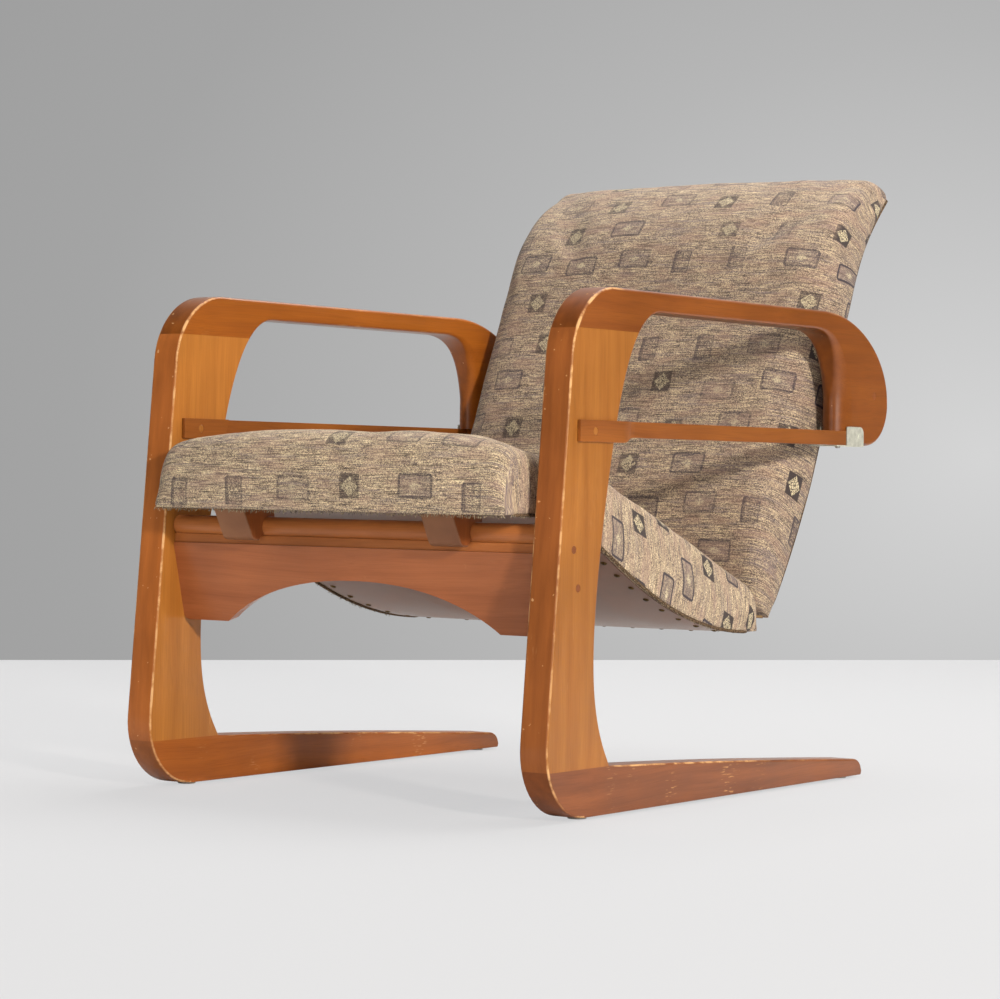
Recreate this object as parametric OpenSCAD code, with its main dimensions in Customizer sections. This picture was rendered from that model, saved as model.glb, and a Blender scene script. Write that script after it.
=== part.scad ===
// Lounge chair: two C-shaped timber side frames, a round front bar on an arched
// apron, a rear bar between the arm ends, and an upholstered seat-and-back unit
// that hooks over the front bar and leans on the rear one.
// Y is measured from the toe line, where the front edge of the legs would meet
// the floor, and the finished chair is moved so that its origin lies under the
// centre of its bounding box. X runs across the chair, positive on the right of
// a viewer in front of it, and Z is up. Lengths are in millimetres.

/* [Side frames] */
// Overall width across the side frames
frame_w = 620; // [580:5:680]
// Thickness of the frame timber
timber_t = 38; // [34:1:44]
// Height of the arm's top face
arm_h = 612; // [590:1:640]
// Thickness of the arm along its straight part
arm_t = 24.5; // [20:0.5:30]
// Toe line to the rear of the arm's curl
frame_len = 833; // [800:1:870]
// Width of the curl behind the arm's opening
curl_w = 133; // [118:1:150]
// Forward lean of the legs' front edge, in degrees
leg_lean = 5.2; // [3:0.1:7]
// Width of the leg at its waist
leg_waist = 87; // [76:1:98]
// Height of the leg's waist above the floor
leg_waist_z = 190; // [170:1:210]
// Width of the leg where the side rail crosses it
leg_rail_w = 106; // [98:1:116]
// Radius of the front bottom corner
toe_r = 80; // [60:1:95]
// Radius of the front top corner
arm_r = 90; // [80:1:110]
// Height of the foot's joint with the leg
foot_joint_z = 59; // [54:1:66]
// Toe line to the rear tip of the foot
foot_len = 773; // [730:1:800]
// Height of the foot's top edge at its rear tip
tip_h = 25; // [20:1:32]
// Depth of the arm's joint with the leg below the arm's top face
arm_joint_drop = 50; // [44:1:60]

/* [Joint dowels and plugs] */
// Diameter of the dowels in the leg joints
joint_dowel_d = 10; // [8:0.5:12]
// Length of the dowels in the leg joints
joint_dowel_len = 50; // [36:1:60]
// Diameter of the wood plugs over the screws
plug_d = 9.5; // [8:0.5:12]
// Length of the wood plugs
plug_len = 6; // [4:0.5:8]
// Shank diameter of the frame screws
screw_d = 4.5; // [3.5:0.1:5.5]
// Length of the frame screws
screw_len = 64; // [56:1:70]

/* [Side rails] */
// Thickness of the side rail
rail_t = 15; // [12:0.5:18]
// How far the side rail stands proud of the leg
rail_proud = 4; // [2:0.5:6]
// Height of the side rail's underside above the floor
rail_z = 439; // [436:0.5:443]
// Height of the rail's bar
rail_h = 18.5; // [15:0.5:20]
// Extra depth of the rail's wider end below the bar
rail_lap_drop = 6.5; // [3:0.5:8]
// Toe line to the rail's front end
rail_front_y = 61; // [56:1:70]
// Thickness of the cheek block inside the leg
cheek_t = 10; // [8:0.5:12]
// Diameter of the pin through rail, leg and cheek
rail_pin_d = 9.5; // [8:0.5:11]

/* [Rail brackets] */
// Sheet thickness of the steel bracket
bracket_t = 1.6; // [1.2:0.1:2.2]
// Length of the bracket's side tabs along the curl
tab_len = 46; // [36:1:52]
// Height of the bracket's side tabs
tab_h = 26; // [22:0.5:30]
// How far the bracket's floor reaches forward under the rail
tongue_len = 28; // [22:1:34]
// Diameter of the pin through the tabs and the curl
bracket_pin_d = 5; // [4:0.5:6]

/* [Cross bars and apron] */
// Diameter of the front and rear round bars
bar_d = 24; // [20:0.5:26]
// Toe line to the front bar's axis
bar_y = 57; // [55:1:60]
// Height of the front bar's axis
bar_z = 325.7; // [322:0.1:328]
// Rear bar's axis ahead of the rear of the arm's curl
rear_bar_in = 41; // [35:1:47]
// Height of the rear bar's axis
rear_bar_z = 506; // [500:1:512]
// Thickness of the apron board
apron_t = 20; // [16:0.5:22]
// Depth of the apron below its top edge, along the board
apron_depth = 99; // [90:1:104]
// Tilt of the apron, its lower edge set back, in degrees
apron_tilt = 14; // [10:0.5:18]
// Width of each straight foot of the apron's lower edge
apron_foot = 70; // [50:1:80]
// Height of the arch cut into the apron's lower edge
arch_h = 58; // [45:1:62]
// Thickness of the strip between apron and front bar
strip_t = 14; // [11:0.5:15]
// Height of the strip between apron and front bar
strip_h = 11; // [9:0.5:13]

/* [Hooks and rests] */
// Width of each wooden hook
hook_w = 45; // [36:1:54]
// Distance of each hook's centre from the side frame's inner face
hook_in = 119; // [100:1:140]
// Running clearance between hook and bar
hook_gap = 0.3; // [0.2:0.05:0.6]
// Thickness of the leather facing on each hook
facing_t = 2; // [1:0.25:3]
// Width of each rest block on the back
rest_w = 45; // [36:1:60]
// Distance of each rest block's centre from the side frame's inner face
rest_in = 107; // [92:1:130]
// Length of each rest block up the back
rest_len = 76; // [70:1:90]

/* [Seat and back] */
// Clearance between the seat unit and each side frame
seat_side_gap = 13; // [8:0.5:20]
// Height of the seat's top at its front edge
seat_h = 437; // [430:0.5:444]
// Height of the seat's underside at its front edge
seat_low_z = 347.5; // [347:0.5:350]
// Overhang of the seat's front ahead of the toe line
seat_nose = 12; // [4:0.5:20]
// Seat's rear face ahead of the rear of the arm's curl
seat_rear_in = 257; // [255:0.5:263]
// Height of the seat's underside at its rear edge
seat_rear_z = 197; // [192:0.5:202]
// Height of the back's top edge at its sides
back_h = 803; // [780:1:830]
// How far the back's top reaches behind the arm's curl
back_over = 83; // [67:1:97]
// Depth of padding and webbing over the seat and back frames
pad_t = 30; // [26:0.5:34]
// Crown of the seat at the middle of its width
seat_crown = 12; // [6:0.5:18]
// Crown of the back at the middle of its width
back_crown = 12; // [6:0.5:18]
// Edge rounding of the seat's sides
seat_edge_r = 14; // [8:0.5:18]
// Edge rounding of the back's sides
back_edge_r = 30; // [20:0.5:32]
// Thickness of the boards of the seat and back frames
board_t = 22; // [18:0.5:26]
// Thickness of the webbing straps
web_t = 2; // [1.5:0.1:2.3]
// Width of the webbing straps
web_w = 50; // [36:1:56]
// Thickness of the leather-cloth covers
cover_t = 2; // [1.2:0.1:2.4]
// Thickness of the steel straps that join seat and back
strap_t = 3; // [2:0.1:3.5]
// Head diameter of the upholstery tacks
tack_d = 8; // [6:0.5:10]
// Spacing of the upholstery tacks
tack_pitch = 44; // [36:1:60]

/* [Glides] */
// Thickness of the glides under the feet
glide_t = 3; // [2:0.25:4]
// Diameter of the glides under the feet
glide_d = 22; // [18:1:26]

/* [Hidden] */
$fn = 48;

// Small clearances
fit = 0.1;          // dowels, screws and plugs in their holes
soft_gap = 0.3;     // soft forms against what carries them
skirt = 8.5;        // padding down the sides of the boards
seat_roll_y = 20;   // toe line to where the seat's front roll meets its top
nose_tuck = 4;      // foot of the front roll behind its nose
nose_rise = 45;     // height over which the front roll comes forward
under_flat = 105;   // toe line to the end of the flat under the seat's front
tail_round = 31;    // depth of the rounding at the seat's rear top
tail_rise = 67;     // height of that rounding's start above the underside
tail_face = 36;     // height of the seat's flat rear face
seat_end_gap = 2;   // boards and cover short of the seat's rear face
seat_back_gap = 3;  // gap between the seat's rear face and the back
back_rise = 16;     // foot of the back above the seat's rear underside
back_foot_h = 22;   // height of the back's front corner above its foot
back_foot_t = 26;   // thickness of the back at its foot
back_front_foot = 242; // start of the back's front straight above its foot
back_rear_foot = 219.5; // start of the back's rear straight above its foot
back_swing = 73;    // how far the back's front curves rearwards at its foot
back_girth = 74;    // rear of the back's straight behind its front
back_top_w = 44;    // width of the back's top
back_top_edge = 27; // depth of the back's rear top rounding
back_top_lean = 2;  // top of the back cover ahead of the back's rear edge
top_rail_h = 64;    // depth of the back's top rail below the top
bottom_rail_rise = 26; // back's bottom rail above its foot
bottom_rail_h = 33; // height of the back's bottom rail
rest_screw_half = 27; // half the spacing of the rest blocks' screws
foot_dowel_in = 34; // front of the foot's joint to its first dowel
arm_dowel_in = 40;  // front of the arm's joint to its first dowel
dowel_apart = 58;   // spacing of the two dowels in each joint
toe_glide_in = 14;  // toe corner's centre to the front glide
tip_glide_in = 32;  // foot's tip to the rear glide
top_swell = 4;      // swell of the back's top above its sides
nose_in = 8;        // toe line to the inside of the seat's front padding
tail_t = 14;        // padding over the seat's rear end
back_lean = 23;     // slope of the straight of the back, in degrees
foot_pad = 0.4;     // share of the padding's depth left at the foot of the back
draw_in = 0.994;    // inner width of a pad against its outer width
heel_w = 137;       // width of the joint between foot and leg
arm_root = 93;      // rear of the leg at the rail to the straight of the arm
curl_step = 14;     // width of the notch under the curl
leg_blend = 3;      // height of the leg's curve above the rail's top
past = 1500;        // reach of a cutting block beyond everything
housing_run = 60;   // reach of the rail housings behind the leg
strip_cove = 1.4;   // how deep the front bar lies in the strip under it
apron_screw_drop = 42; // apron's top edge to its screw, along the board
screw_head_t = 3;   // thickness of the frame screws' heads
screw_head_d = 8;   // diameter of the frame screws' heads
nail_d = 2.6;       // diameter of the glides' nails
housing_gap = 1;    // open end of the housing ahead of the side rail
bar_tenon_len = 14; // length of the front bar's end pins
bar_tenon_d = 12;   // diameter of the front bar's end pins
bar_end_gap = 1;    // gap between the front bar's shoulders and the legs
lip_r = 22;         // reach of the hook's lip from the bar's axis
lip_angle = 220;    // direction of the hook's lip from the bar's axis, in degrees
hook_screw_d = 4;   // diameter of the hooks' screws
bracket_screw_in = 9; // rail's rear end to the bracket's screw
bracket_screw_d = 4; // shank diameter of the bracket's screw
rivet_h = 1;        // height of the bracket pins' heads
tab_r = 10;         // radius of the bracket tabs' top corner
apron_r = 8;        // radius of the apron's lower outer corners
rest_dip = 2;       // depth of the saddle in each rest block
strap_w = 14;       // width of the joining straps
strap_screw_d = 4;  // diameter of the joining straps' screws

// Points on curves
function bez(p, n) = [for (i = [0:n]) let (t = i / n, u = 1 - t)
    u*u*u*p[0] + 3*t*u*u*p[1] + 3*t*t*u*p[2] + t*t*t*p[3]];
function line(a, b, n) = [for (i = [0:n]) a + (b - a) * i / n];
function arc(c, r, a0, a1, n) = [for (i = [0:n]) let (a = a0 + (a1 - a0) * i / n)
    c + r * [cos(a), sin(a)]];
function rest_of(p) = [for (i = [1:len(p) - 1]) p[i]];
function flip(p) = [for (i = [len(p) - 1:-1:0]) p[i]];
function side_of(p, i) = let (n = len(p) - 1,
    d = p[min(i + 1, n)] - p[max(i - 1, 0)]) [-d[1], d[0]] / norm(d);
function shift(p, d) = [for (i = [0:len(p) - 1]) p[i] + d * side_of(p, i)];

// Side frame places
half_w = frame_w / 2;
in_x = half_w - timber_t;
hook_x = in_x - hook_in;
rest_x = in_x - rest_in;
mid_x = half_w - timber_t / 2;
function front_y(z) = z * tan(leg_lean);
function corner_y(r, z) = (r + z * sin(leg_lean)) / cos(leg_lean);
arm_low = arm_h - arm_t;
arm_joint_z = arm_h - arm_joint_drop;
curl_y = frame_len - curl_w;
curl_low = rail_z;
rail_top = rail_z + rail_h;
rail_lap_z = rail_z - rail_lap_drop;
step_y = curl_y + curl_step;           // where the curl steps down behind the rail
rear_bar_y = frame_len - rear_bar_in;
seat_rear_y = frame_len - seat_rear_in;
back_rear_y = frame_len + back_over;
toe_c = [corner_y(toe_r, glide_t + toe_r), glide_t + toe_r];
arm_c = [corner_y(arm_r, arm_h - arm_r), arm_h - arm_r];
waist_y = front_y(leg_waist_z) + leg_waist;
rail_back_y = front_y(rail_top) + leg_rail_w;
heel_y = front_y(foot_joint_z) + heel_w;
arm_root_y = rail_back_y + arm_root;

// Outline of one side frame, from the foot's tip round by the toe and the arm
curl_top = curl_low + 0.444 * curl_w;
waist_rise = leg_waist_z - foot_joint_z;
rail_rise = rail_top - leg_waist_z;
foot_run = foot_len - heel_y;
curl_rear = bez([[frame_len - 1.34 * curl_w, arm_h], [frame_len - 0.624 * curl_w, arm_h],
    [frame_len - 0.01 * curl_w, arm_h - 0.39 * curl_w], [frame_len, curl_top]], 18);
curl_base = bez([[frame_len, curl_top], [frame_len, curl_low + 0.18 * curl_w],
    [frame_len - 0.19 * curl_w, curl_low], [frame_len - 0.474 * curl_w, curl_low]], 10);
curl_inside = bez([[curl_y, arm_low - 0.66 * curl_w], [curl_y - 0.015 * curl_w, arm_low - 0.21 * curl_w],
    [curl_y - 0.15 * curl_w, arm_low], [curl_y - 0.564 * curl_w, arm_low]], 14);
leg_under_arm = bez([[arm_root_y, arm_low], [arm_root_y - 0.46 * arm_root, arm_low],
    [rail_back_y + 0.215 * arm_root, arm_low - 0.56 * arm_root],
    [rail_back_y, rail_top + leg_blend]], 14);
leg_back = bez([[rail_back_y, rail_top + leg_blend],
    [rail_back_y - 0.15 * leg_rail_w, rail_top - 0.21 * rail_rise],
    [waist_y, leg_waist_z + 0.3 * rail_rise], [waist_y, leg_waist_z]], 12);
leg_heel = bez([[waist_y, leg_waist_z], [waist_y, leg_waist_z - 0.38 * waist_rise],
    [waist_y + 0.09 * leg_waist, foot_joint_z + 0.31 * waist_rise], [heel_y, foot_joint_z]], 10);
foot_top = bez([[heel_y, foot_joint_z], [heel_y + 0.326 * foot_run, foot_joint_z - 0.14 * foot_joint_z],
    [foot_len - 0.366 * foot_run, 1.56 * tip_h], [foot_len - 0.033 * foot_run, tip_h]], 14);
side_outline = concat(
    [[foot_len - 2, glide_t]],
    arc(toe_c, toe_r, 270, 180 - leg_lean, 14),
    arc(arm_c, arm_r, 180 - leg_lean, 90, 16),
    curl_rear, rest_of(curl_base),
    [[step_y, curl_low], [step_y, rail_top], [curl_y, rail_top]],
    curl_inside, leg_under_arm, rest_of(leg_back), rest_of(leg_heel),
    rest_of(foot_top), [[foot_len, glide_t + 5]]);

// Seat and back, side views. The lists run from front to rear and from the
// bottom to the top, and a positive shift is towards the sitter.
seat_half = in_x - seat_side_gap;
board_x = seat_half - skirt - soft_gap;
seat_low_in = seat_low_z + cover_t;
tail_z = seat_rear_z + tail_face;
tail_y = seat_rear_y - tail_t;
seat_end_y = seat_rear_y - seat_end_gap;
seat_top_rear = [seat_rear_y - tail_round, seat_rear_z + tail_rise];
seat_run = seat_top_rear[0] - seat_roll_y;
seat_fall = seat_h - seat_top_rear[1];
seat_roll = bez([[nose_tuck - seat_nose, seat_low_z], [-2 * nose_tuck - seat_nose, seat_low_z + nose_rise],
    [-0.5 * nose_tuck - seat_nose, seat_h + 0.5 * nose_tuck], [seat_roll_y, seat_h]], 8);
seat_line = bez([[seat_roll_y, seat_h], [seat_roll_y + 0.171 * seat_run, seat_h - 0.017 * seat_fall],
    [seat_roll_y + 0.343 * seat_run, seat_h - 0.237 * seat_fall], seat_top_rear], 14);
seat_tail = bez([seat_top_rear, seat_top_rear + [0.74 * tail_round, -0.134 * tail_rise],
    [seat_rear_y, seat_top_rear[1] - 0.3 * tail_rise], [seat_rear_y, tail_z]], 5);
seat_outer = concat(seat_roll, rest_of(seat_line), rest_of(seat_tail));
seat_base = shift(seat_line, -pad_t);
seat_inner = concat(
    bez([[nose_in, seat_low_z], [nose_in, seat_low_z + 0.9 * nose_rise],
        [nose_in, seat_base[0][1]], seat_base[0]], 8),
    rest_of(seat_base),
    rest_of(line(seat_base[len(seat_base) - 1], [tail_y, tail_z], 5)));
board_front_y = nose_in + 4;
under_run = seat_end_y - under_flat;
under_fall = seat_low_z - seat_rear_z;
seat_under = concat(line([board_front_y, seat_low_z], [under_flat, seat_low_z], 2),
    rest_of(bez([[under_flat, seat_low_z], [under_flat + 0.18 * under_run, seat_low_z - 0.083 * under_fall],
    [under_flat + 0.48 * under_run, seat_rear_z - 0.013 * under_fall], [seat_end_y, seat_rear_z]], 14)));
// Layers under the seat's padding, each this far below it
function seat_layer(d) = concat([[board_front_y, seat_base[0][1] - d - 2 * nose_tuck]],
    shift(concat(seat_base, [[tail_y, tail_z]]), -d), [[seat_end_y, tail_z - d]]);
function seat_core(d) = concat(seat_layer(d), flip(shift(seat_under, cover_t)));

back_front_y = seat_rear_y + seat_back_gap;
back_low_z = seat_rear_z + back_rise;
back_tall = back_h - back_low_z;
back_dir = [sin(back_lean), cos(back_lean)];
back_norm = [-cos(back_lean), sin(back_lean)];
back_front_a = [back_front_y + back_swing, back_low_z + back_front_foot];
back_front_run = (back_h - back_front_a[1]) / cos(back_lean);
back_front_b = back_front_a + 0.62 * back_front_run * back_dir;
back_rear_a = [back_front_a[0] + back_girth, back_low_z + back_rear_foot];
back_rear_run = (back_h - back_top_edge - back_rear_a[1]) / cos(back_lean);
back_rear_b = back_rear_a + 0.645 * back_rear_run * back_dir;
back_foot = [back_front_y, back_low_z + back_foot_h];
foot_rise = back_front_a[1] - back_foot[1];
back_heel = [back_front_y + back_foot_t, back_low_z];
heel_run = back_rear_a - back_heel;
top_front = [back_rear_y - back_top_w, back_h - 0.75 * top_swell];
back_front = concat(
    bez([back_foot, back_foot + [0.03 * back_swing, 0.33 * foot_rise],
        back_foot + [0.59 * back_swing, 0.68 * foot_rise], back_front_a], 7),
    rest_of(line(back_front_a, back_front_b, 5)),
    rest_of(bez([back_front_b, back_front_b + 0.18 * back_front_run * back_dir,
        [back_rear_y - 2.3 * back_top_w, back_h - 0.5 * back_top_w], top_front], 7)));
back_rear = concat(
    bez([back_heel, back_heel + [0.23 * heel_run[0], 0.17 * heel_run[1]],
        back_heel + [0.645 * heel_run[0], 0.526 * heel_run[1]], back_rear_a], 7),
    rest_of(line(back_rear_a, back_rear_b, 5)),
    rest_of(bez([back_rear_b, back_rear_b + 0.166 * back_rear_run * back_dir,
        [back_rear_y - 0.91 * back_top_w, back_h - 2.3 * back_top_edge],
        [back_rear_y - back_top_lean, back_h - back_top_edge]], 7)));
// The padding is thinner at the foot of the back, where the straps come in
function back_pad_t(i) = pad_t * min(1, foot_pad + (1 - foot_pad) * i / 4);
back_base = [for (i = [0:len(back_front) - 1])
    back_front[i] - back_pad_t(i) * side_of(back_front, i)];
back_top_in = back_base[len(back_base) - 1];
back_outer = concat(back_front, rest_of(bez([top_front,
    [back_rear_y - 0.6 * back_top_w, back_h + top_swell], [back_rear_y, back_h + top_swell],
    [back_rear_y - 0.5 * back_top_lean, back_h - 0.56 * back_top_edge]], 5)));
back_inner = concat(back_base,
    rest_of(line(back_top_in, [back_rear_y - 0.3 * back_top_w, back_h - 0.9 * back_top_edge], 5)));
function back_core(d) = concat(shift(back_base, -d), flip(shift(back_rear, cover_t)));
// A point by its distance up the straight of the back, and in from its rear face
function on_back(s, d) = back_rear_a + s * back_dir + d * back_norm;
rear_bar_c = [rear_bar_y, rear_bar_z];
rest_s = (rear_bar_c - back_rear_a) * back_dir;
rest_d = (rear_bar_c - back_rear_a) * back_norm;

// The chair's length, and the middle of it
function out_of(o, n) = (o - n) / norm(o - n);
front_reach = min([for (i = [0:8]) (seat_outer[i]
    + seat_crown * out_of(seat_outer[i], seat_inner[i]) * roll_share(i))[0]]);
rear_reach = max([for (p = back_outer) p[0]]);
function roll_share(i) = min(1, 0.35 + 0.65 * i / 8);
y_mid = (front_reach + rear_reach) / 2;

// Places on both side frames: m is 1 on the right and -1 on the left
module on_side(m) { mirror([m < 0 ? 1 : 0, 0, 0]) children(); }
module both() { for (m = [-1, 1]) on_side(m) children(); }
// An outline in Y and Z, swept along X from x0 to x1
module slab(x0, x1, outline) {
    translate([x0, 0, 0]) rotate([90, 0, 90]) linear_extrude(x1 - x0) polygon(outline);
}
// A round bar along X
module rod_x(x0, x1, y, z, d) {
    translate([x0, y, z]) rotate([0, 90, 0]) cylinder(h = x1 - x0, d = d);
}
// A rectangle in Y and Z, swept along X
module block(x0, x1, y0, y1, z0, z1) {
    translate([x0, y0, z0]) cube([x1 - x0, y1 - y0, z1 - z0]);
}

// Colours
wood = "#B9783A";
wood_dark = "#96603C";
wood_red = "#A06241";
hidden_wood = "#C9A66B";
steel = "#B8B8AE";
brass = "#8A7442";
fabric = "#A0917D";
leather_cloth = "#7A625C";
webbing = "#C8B68E";

// Frame pieces, cut from one outline between two heights and up to one depth
foot_dowel_ys = [for (i = [0, 1]) front_y(foot_joint_z) + foot_dowel_in + i * dowel_apart];
arm_dowel_ys = [for (i = [0, 1]) front_y(arm_joint_z) + arm_dowel_in + i * dowel_apart];
glide_ys = [toe_c[0] + toe_glide_in, foot_len - tip_glide_in];
nail_len = 15;
nail_hole = nail_len + 1;
module joint_dowels(ys, z, gap) {
    for (y = ys) translate([mid_x, y, z - joint_dowel_len / 2 - gap])
        cylinder(h = joint_dowel_len + 2 * gap, d = joint_dowel_d + 2 * gap);
}
module frame_piece(y0, y1, z0, z1) {
    intersection() {
        slab(in_x, half_w, side_outline);
        block(in_x - 1, half_w + 1, y0, y1, z0, z1);
    }
}
strip_low = bar_z - bar_d / 2 + strip_cove - strip_h;
strip_mid = [bar_y, strip_low + strip_h / 2];
apron_top = [bar_y - apron_t / 2, strip_low];
function on_apron(s, d) = apron_top + s * [sin(apron_tilt), -cos(apron_tilt)]
    + d * [cos(apron_tilt), sin(apron_tilt)];
apron_screw = on_apron(apron_screw_drop, apron_t / 2);
head_x = half_w - plug_len - screw_head_t;
module frame_screw(p, gap) {
    rod_x(head_x - screw_len - gap, head_x + screw_head_t, p[0], p[1], screw_d + 2 * gap);
    rod_x(head_x - gap, head_x + screw_head_t, p[0], p[1], screw_head_d + 2 * gap);
}
module screw_bore(p) {
    frame_screw(p, fit);
    rod_x(head_x + screw_head_t - fit, half_w + 1, p[0], p[1], plug_d);
}
module foot(m) {
    color(wood_dark) on_side(m) difference() {
        frame_piece(-past, past, -1, foot_joint_z);
        joint_dowels(foot_dowel_ys, foot_joint_z, fit);
        for (y = glide_ys) translate([mid_x, y, 0]) cylinder(h = glide_t + nail_hole, d = nail_d + 2 * fit);
    }
}
module leg(m) {
    color(wood) on_side(m) difference() {
        frame_piece(-past, arm_root_y, foot_joint_z, arm_joint_z);
        joint_dowels(foot_dowel_ys, foot_joint_z, fit);
        joint_dowels(arm_dowel_ys, arm_joint_z, fit);
        block(half_w + rail_proud - rail_t, half_w + 1,
            rail_front_y - housing_gap, rail_back_y + housing_run, rail_lap_z, rail_top);
        block(in_x - 1, in_x + cheek_t - rail_proud,
            rail_front_y - housing_gap, rail_back_y + housing_run, rail_lap_z, rail_top);
        rail_pin(fit);
        rod_x(in_x - 1, in_x + bar_tenon_len + fit, bar_y, bar_z, bar_tenon_d + 2 * fit);
        screw_bore(strip_mid);
        screw_bore(apron_screw);
    }
}
module arm(m) {
    color(wood) on_side(m) difference() {
        union() {
            frame_piece(-past, past, arm_joint_z, past);
            frame_piece(arm_root_y, past, curl_low, arm_joint_z);
        }
        joint_dowels(arm_dowel_ys, arm_joint_z, fit);
        screw_bore(rear_bar_c);
        bracket_pin(fit);
    }
}
module foot_joint_dowels() { color(hidden_wood) both() joint_dowels(foot_dowel_ys, foot_joint_z, 0); }
module arm_joint_dowels() { color(hidden_wood) both() joint_dowels(arm_dowel_ys, arm_joint_z, 0); }
module frame_screws() {
    color(steel) both() for (p = [strip_mid, apron_screw, rear_bar_c]) frame_screw(p, 0);
}
module frame_plugs() {
    color(wood_dark) both() for (p = [strip_mid, apron_screw, rear_bar_c])
        rod_x(half_w - plug_len, half_w, p[0], p[1], plug_d - 2 * fit);
}
module glides() {
    color("#D8D4CA") both() for (y = glide_ys) translate([mid_x, y, 0]) {
        cylinder(h = glide_t, d = glide_d);
        cylinder(h = glide_t + nail_len, d = nail_d);
    }
}

// Side rails, their cheeks inside the legs, and the steel brackets
rail_rear_y = step_y - 1;
rail_neck_y = rail_back_y + 5;
rail_pin_in = 32;
rail_pin_rise = 6;
module rail_pin(gap) {
    rod_x(in_x - rail_proud - gap, half_w + rail_proud + gap,
        rail_front_y + rail_pin_in, rail_z + rail_pin_rise, rail_pin_d + 2 * gap);
}
rail_cove = 34;
// Plan of the rail: the wide end stands proud of the leg and runs into the bar
rail_plan = concat(
    [[half_w + rail_proud - rail_t, rail_front_y]],
    [[half_w + rail_proud, rail_front_y]],
    bez([[half_w + rail_proud, rail_neck_y], [half_w + rail_proud, rail_neck_y + 0.5 * rail_cove],
        [half_w, rail_neck_y + 0.5 * rail_cove], [half_w, rail_neck_y + rail_cove]], 8),
    [[half_w, rail_rear_y], [half_w - rail_t, rail_rear_y]],
    bez([[half_w - rail_t, rail_neck_y + rail_cove], [half_w - rail_t, rail_neck_y + 0.5 * rail_cove],
        [half_w + rail_proud - rail_t, rail_neck_y + 0.5 * rail_cove],
        [half_w + rail_proud - rail_t, rail_neck_y]], 8));
rail_side = concat(
    [[rail_front_y, rail_lap_z]],
    bez([[rail_neck_y, rail_lap_z], [rail_neck_y + 0.53 * rail_cove, rail_lap_z],
        [rail_neck_y + 0.35 * rail_cove, rail_z], [rail_neck_y + rail_cove, rail_z]], 8),
    [[rail_rear_y, rail_z], [rail_rear_y, rail_top], [rail_front_y, rail_top]]);
module side_rail(m) {
    color(wood_dark) on_side(m) difference() {
        intersection() {
            slab(half_w - rail_t - 1, half_w + rail_proud + 1, rail_side);
            translate([0, 0, rail_lap_z - 1]) linear_extrude(rail_h + rail_lap_drop + 2)
                polygon(rail_plan);
        }
        rail_pin(fit);
        bracket_screw(fit);
    }
}
module rail_cheeks() {
    color(wood_dark) both() difference() {
        intersection() {
            block(in_x - rail_proud, in_x + cheek_t - rail_proud,
                rail_front_y, rail_back_y + housing_run, rail_lap_z, rail_top);
            slab(in_x - rail_proud, in_x + cheek_t - rail_proud, side_outline);
        }
        rail_pin(fit);
    }
}
module rail_pins() { color(wood) both() rail_pin(0); }
tongue_y = step_y - tongue_len;
bracket_screw_len = 13;
rivet_y = step_y + 0.72 * tab_len;
rivet_z = rail_z + 0.45 * tab_h;
rivet_d = bracket_pin_d + 2.5;
screw_cap_h = 2.4;
module bracket_screw(gap) {
    translate([half_w - rail_t / 2, rail_rear_y - bracket_screw_in, rail_z - bracket_t])
        cylinder(h = bracket_t + bracket_screw_len + gap, d = bracket_screw_d + 2 * gap);
}
module bracket_pin(gap) {
    rod_x(in_x - bracket_t - gap, half_w + bracket_t + gap,
        rivet_y, rivet_z, bracket_pin_d + 2 * gap);
}
module bracket_tab(x) {
    difference() {
        block(x, x + bracket_t, step_y, step_y + tab_len, rail_z - bracket_t, rail_z - bracket_t + tab_h);
        translate([x - 1, step_y + tab_len - tab_r, rail_z - bracket_t + tab_h - tab_r])
            difference() {
                cube([bracket_t + 2, tab_r + 1, tab_r + 1]);
                rod_x(-1, bracket_t + 3, 0, 0, 2 * tab_r);
            }
        bracket_pin(fit);
    }
}
module rail_bracket(m) {
    color(steel) on_side(m) difference() {
        union() {
            block(in_x - bracket_t, half_w + bracket_t, tongue_y, step_y + tab_len,
                rail_z - bracket_t, rail_z);
            bracket_tab(half_w);
            bracket_tab(in_x - bracket_t);
        }
        bracket_screw(fit);
    }
}
module bracket_screws() {
    color(steel) both() union() {
        bracket_screw(0);
        translate([half_w - rail_t / 2, rail_rear_y - bracket_screw_in, rail_z - bracket_t - screw_cap_h])
            cylinder(h = screw_cap_h, d1 = bracket_screw_d + 1, d2 = screw_head_d);
    }
}
module bracket_pins() {
    color(steel) both() union() {
        bracket_pin(0);
        rod_x(half_w + bracket_t, half_w + bracket_t + rivet_h, rivet_y, rivet_z, rivet_d);
        rod_x(in_x - bracket_t - rivet_h, in_x - bracket_t, rivet_y, rivet_z, rivet_d);
    }
}

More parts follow.
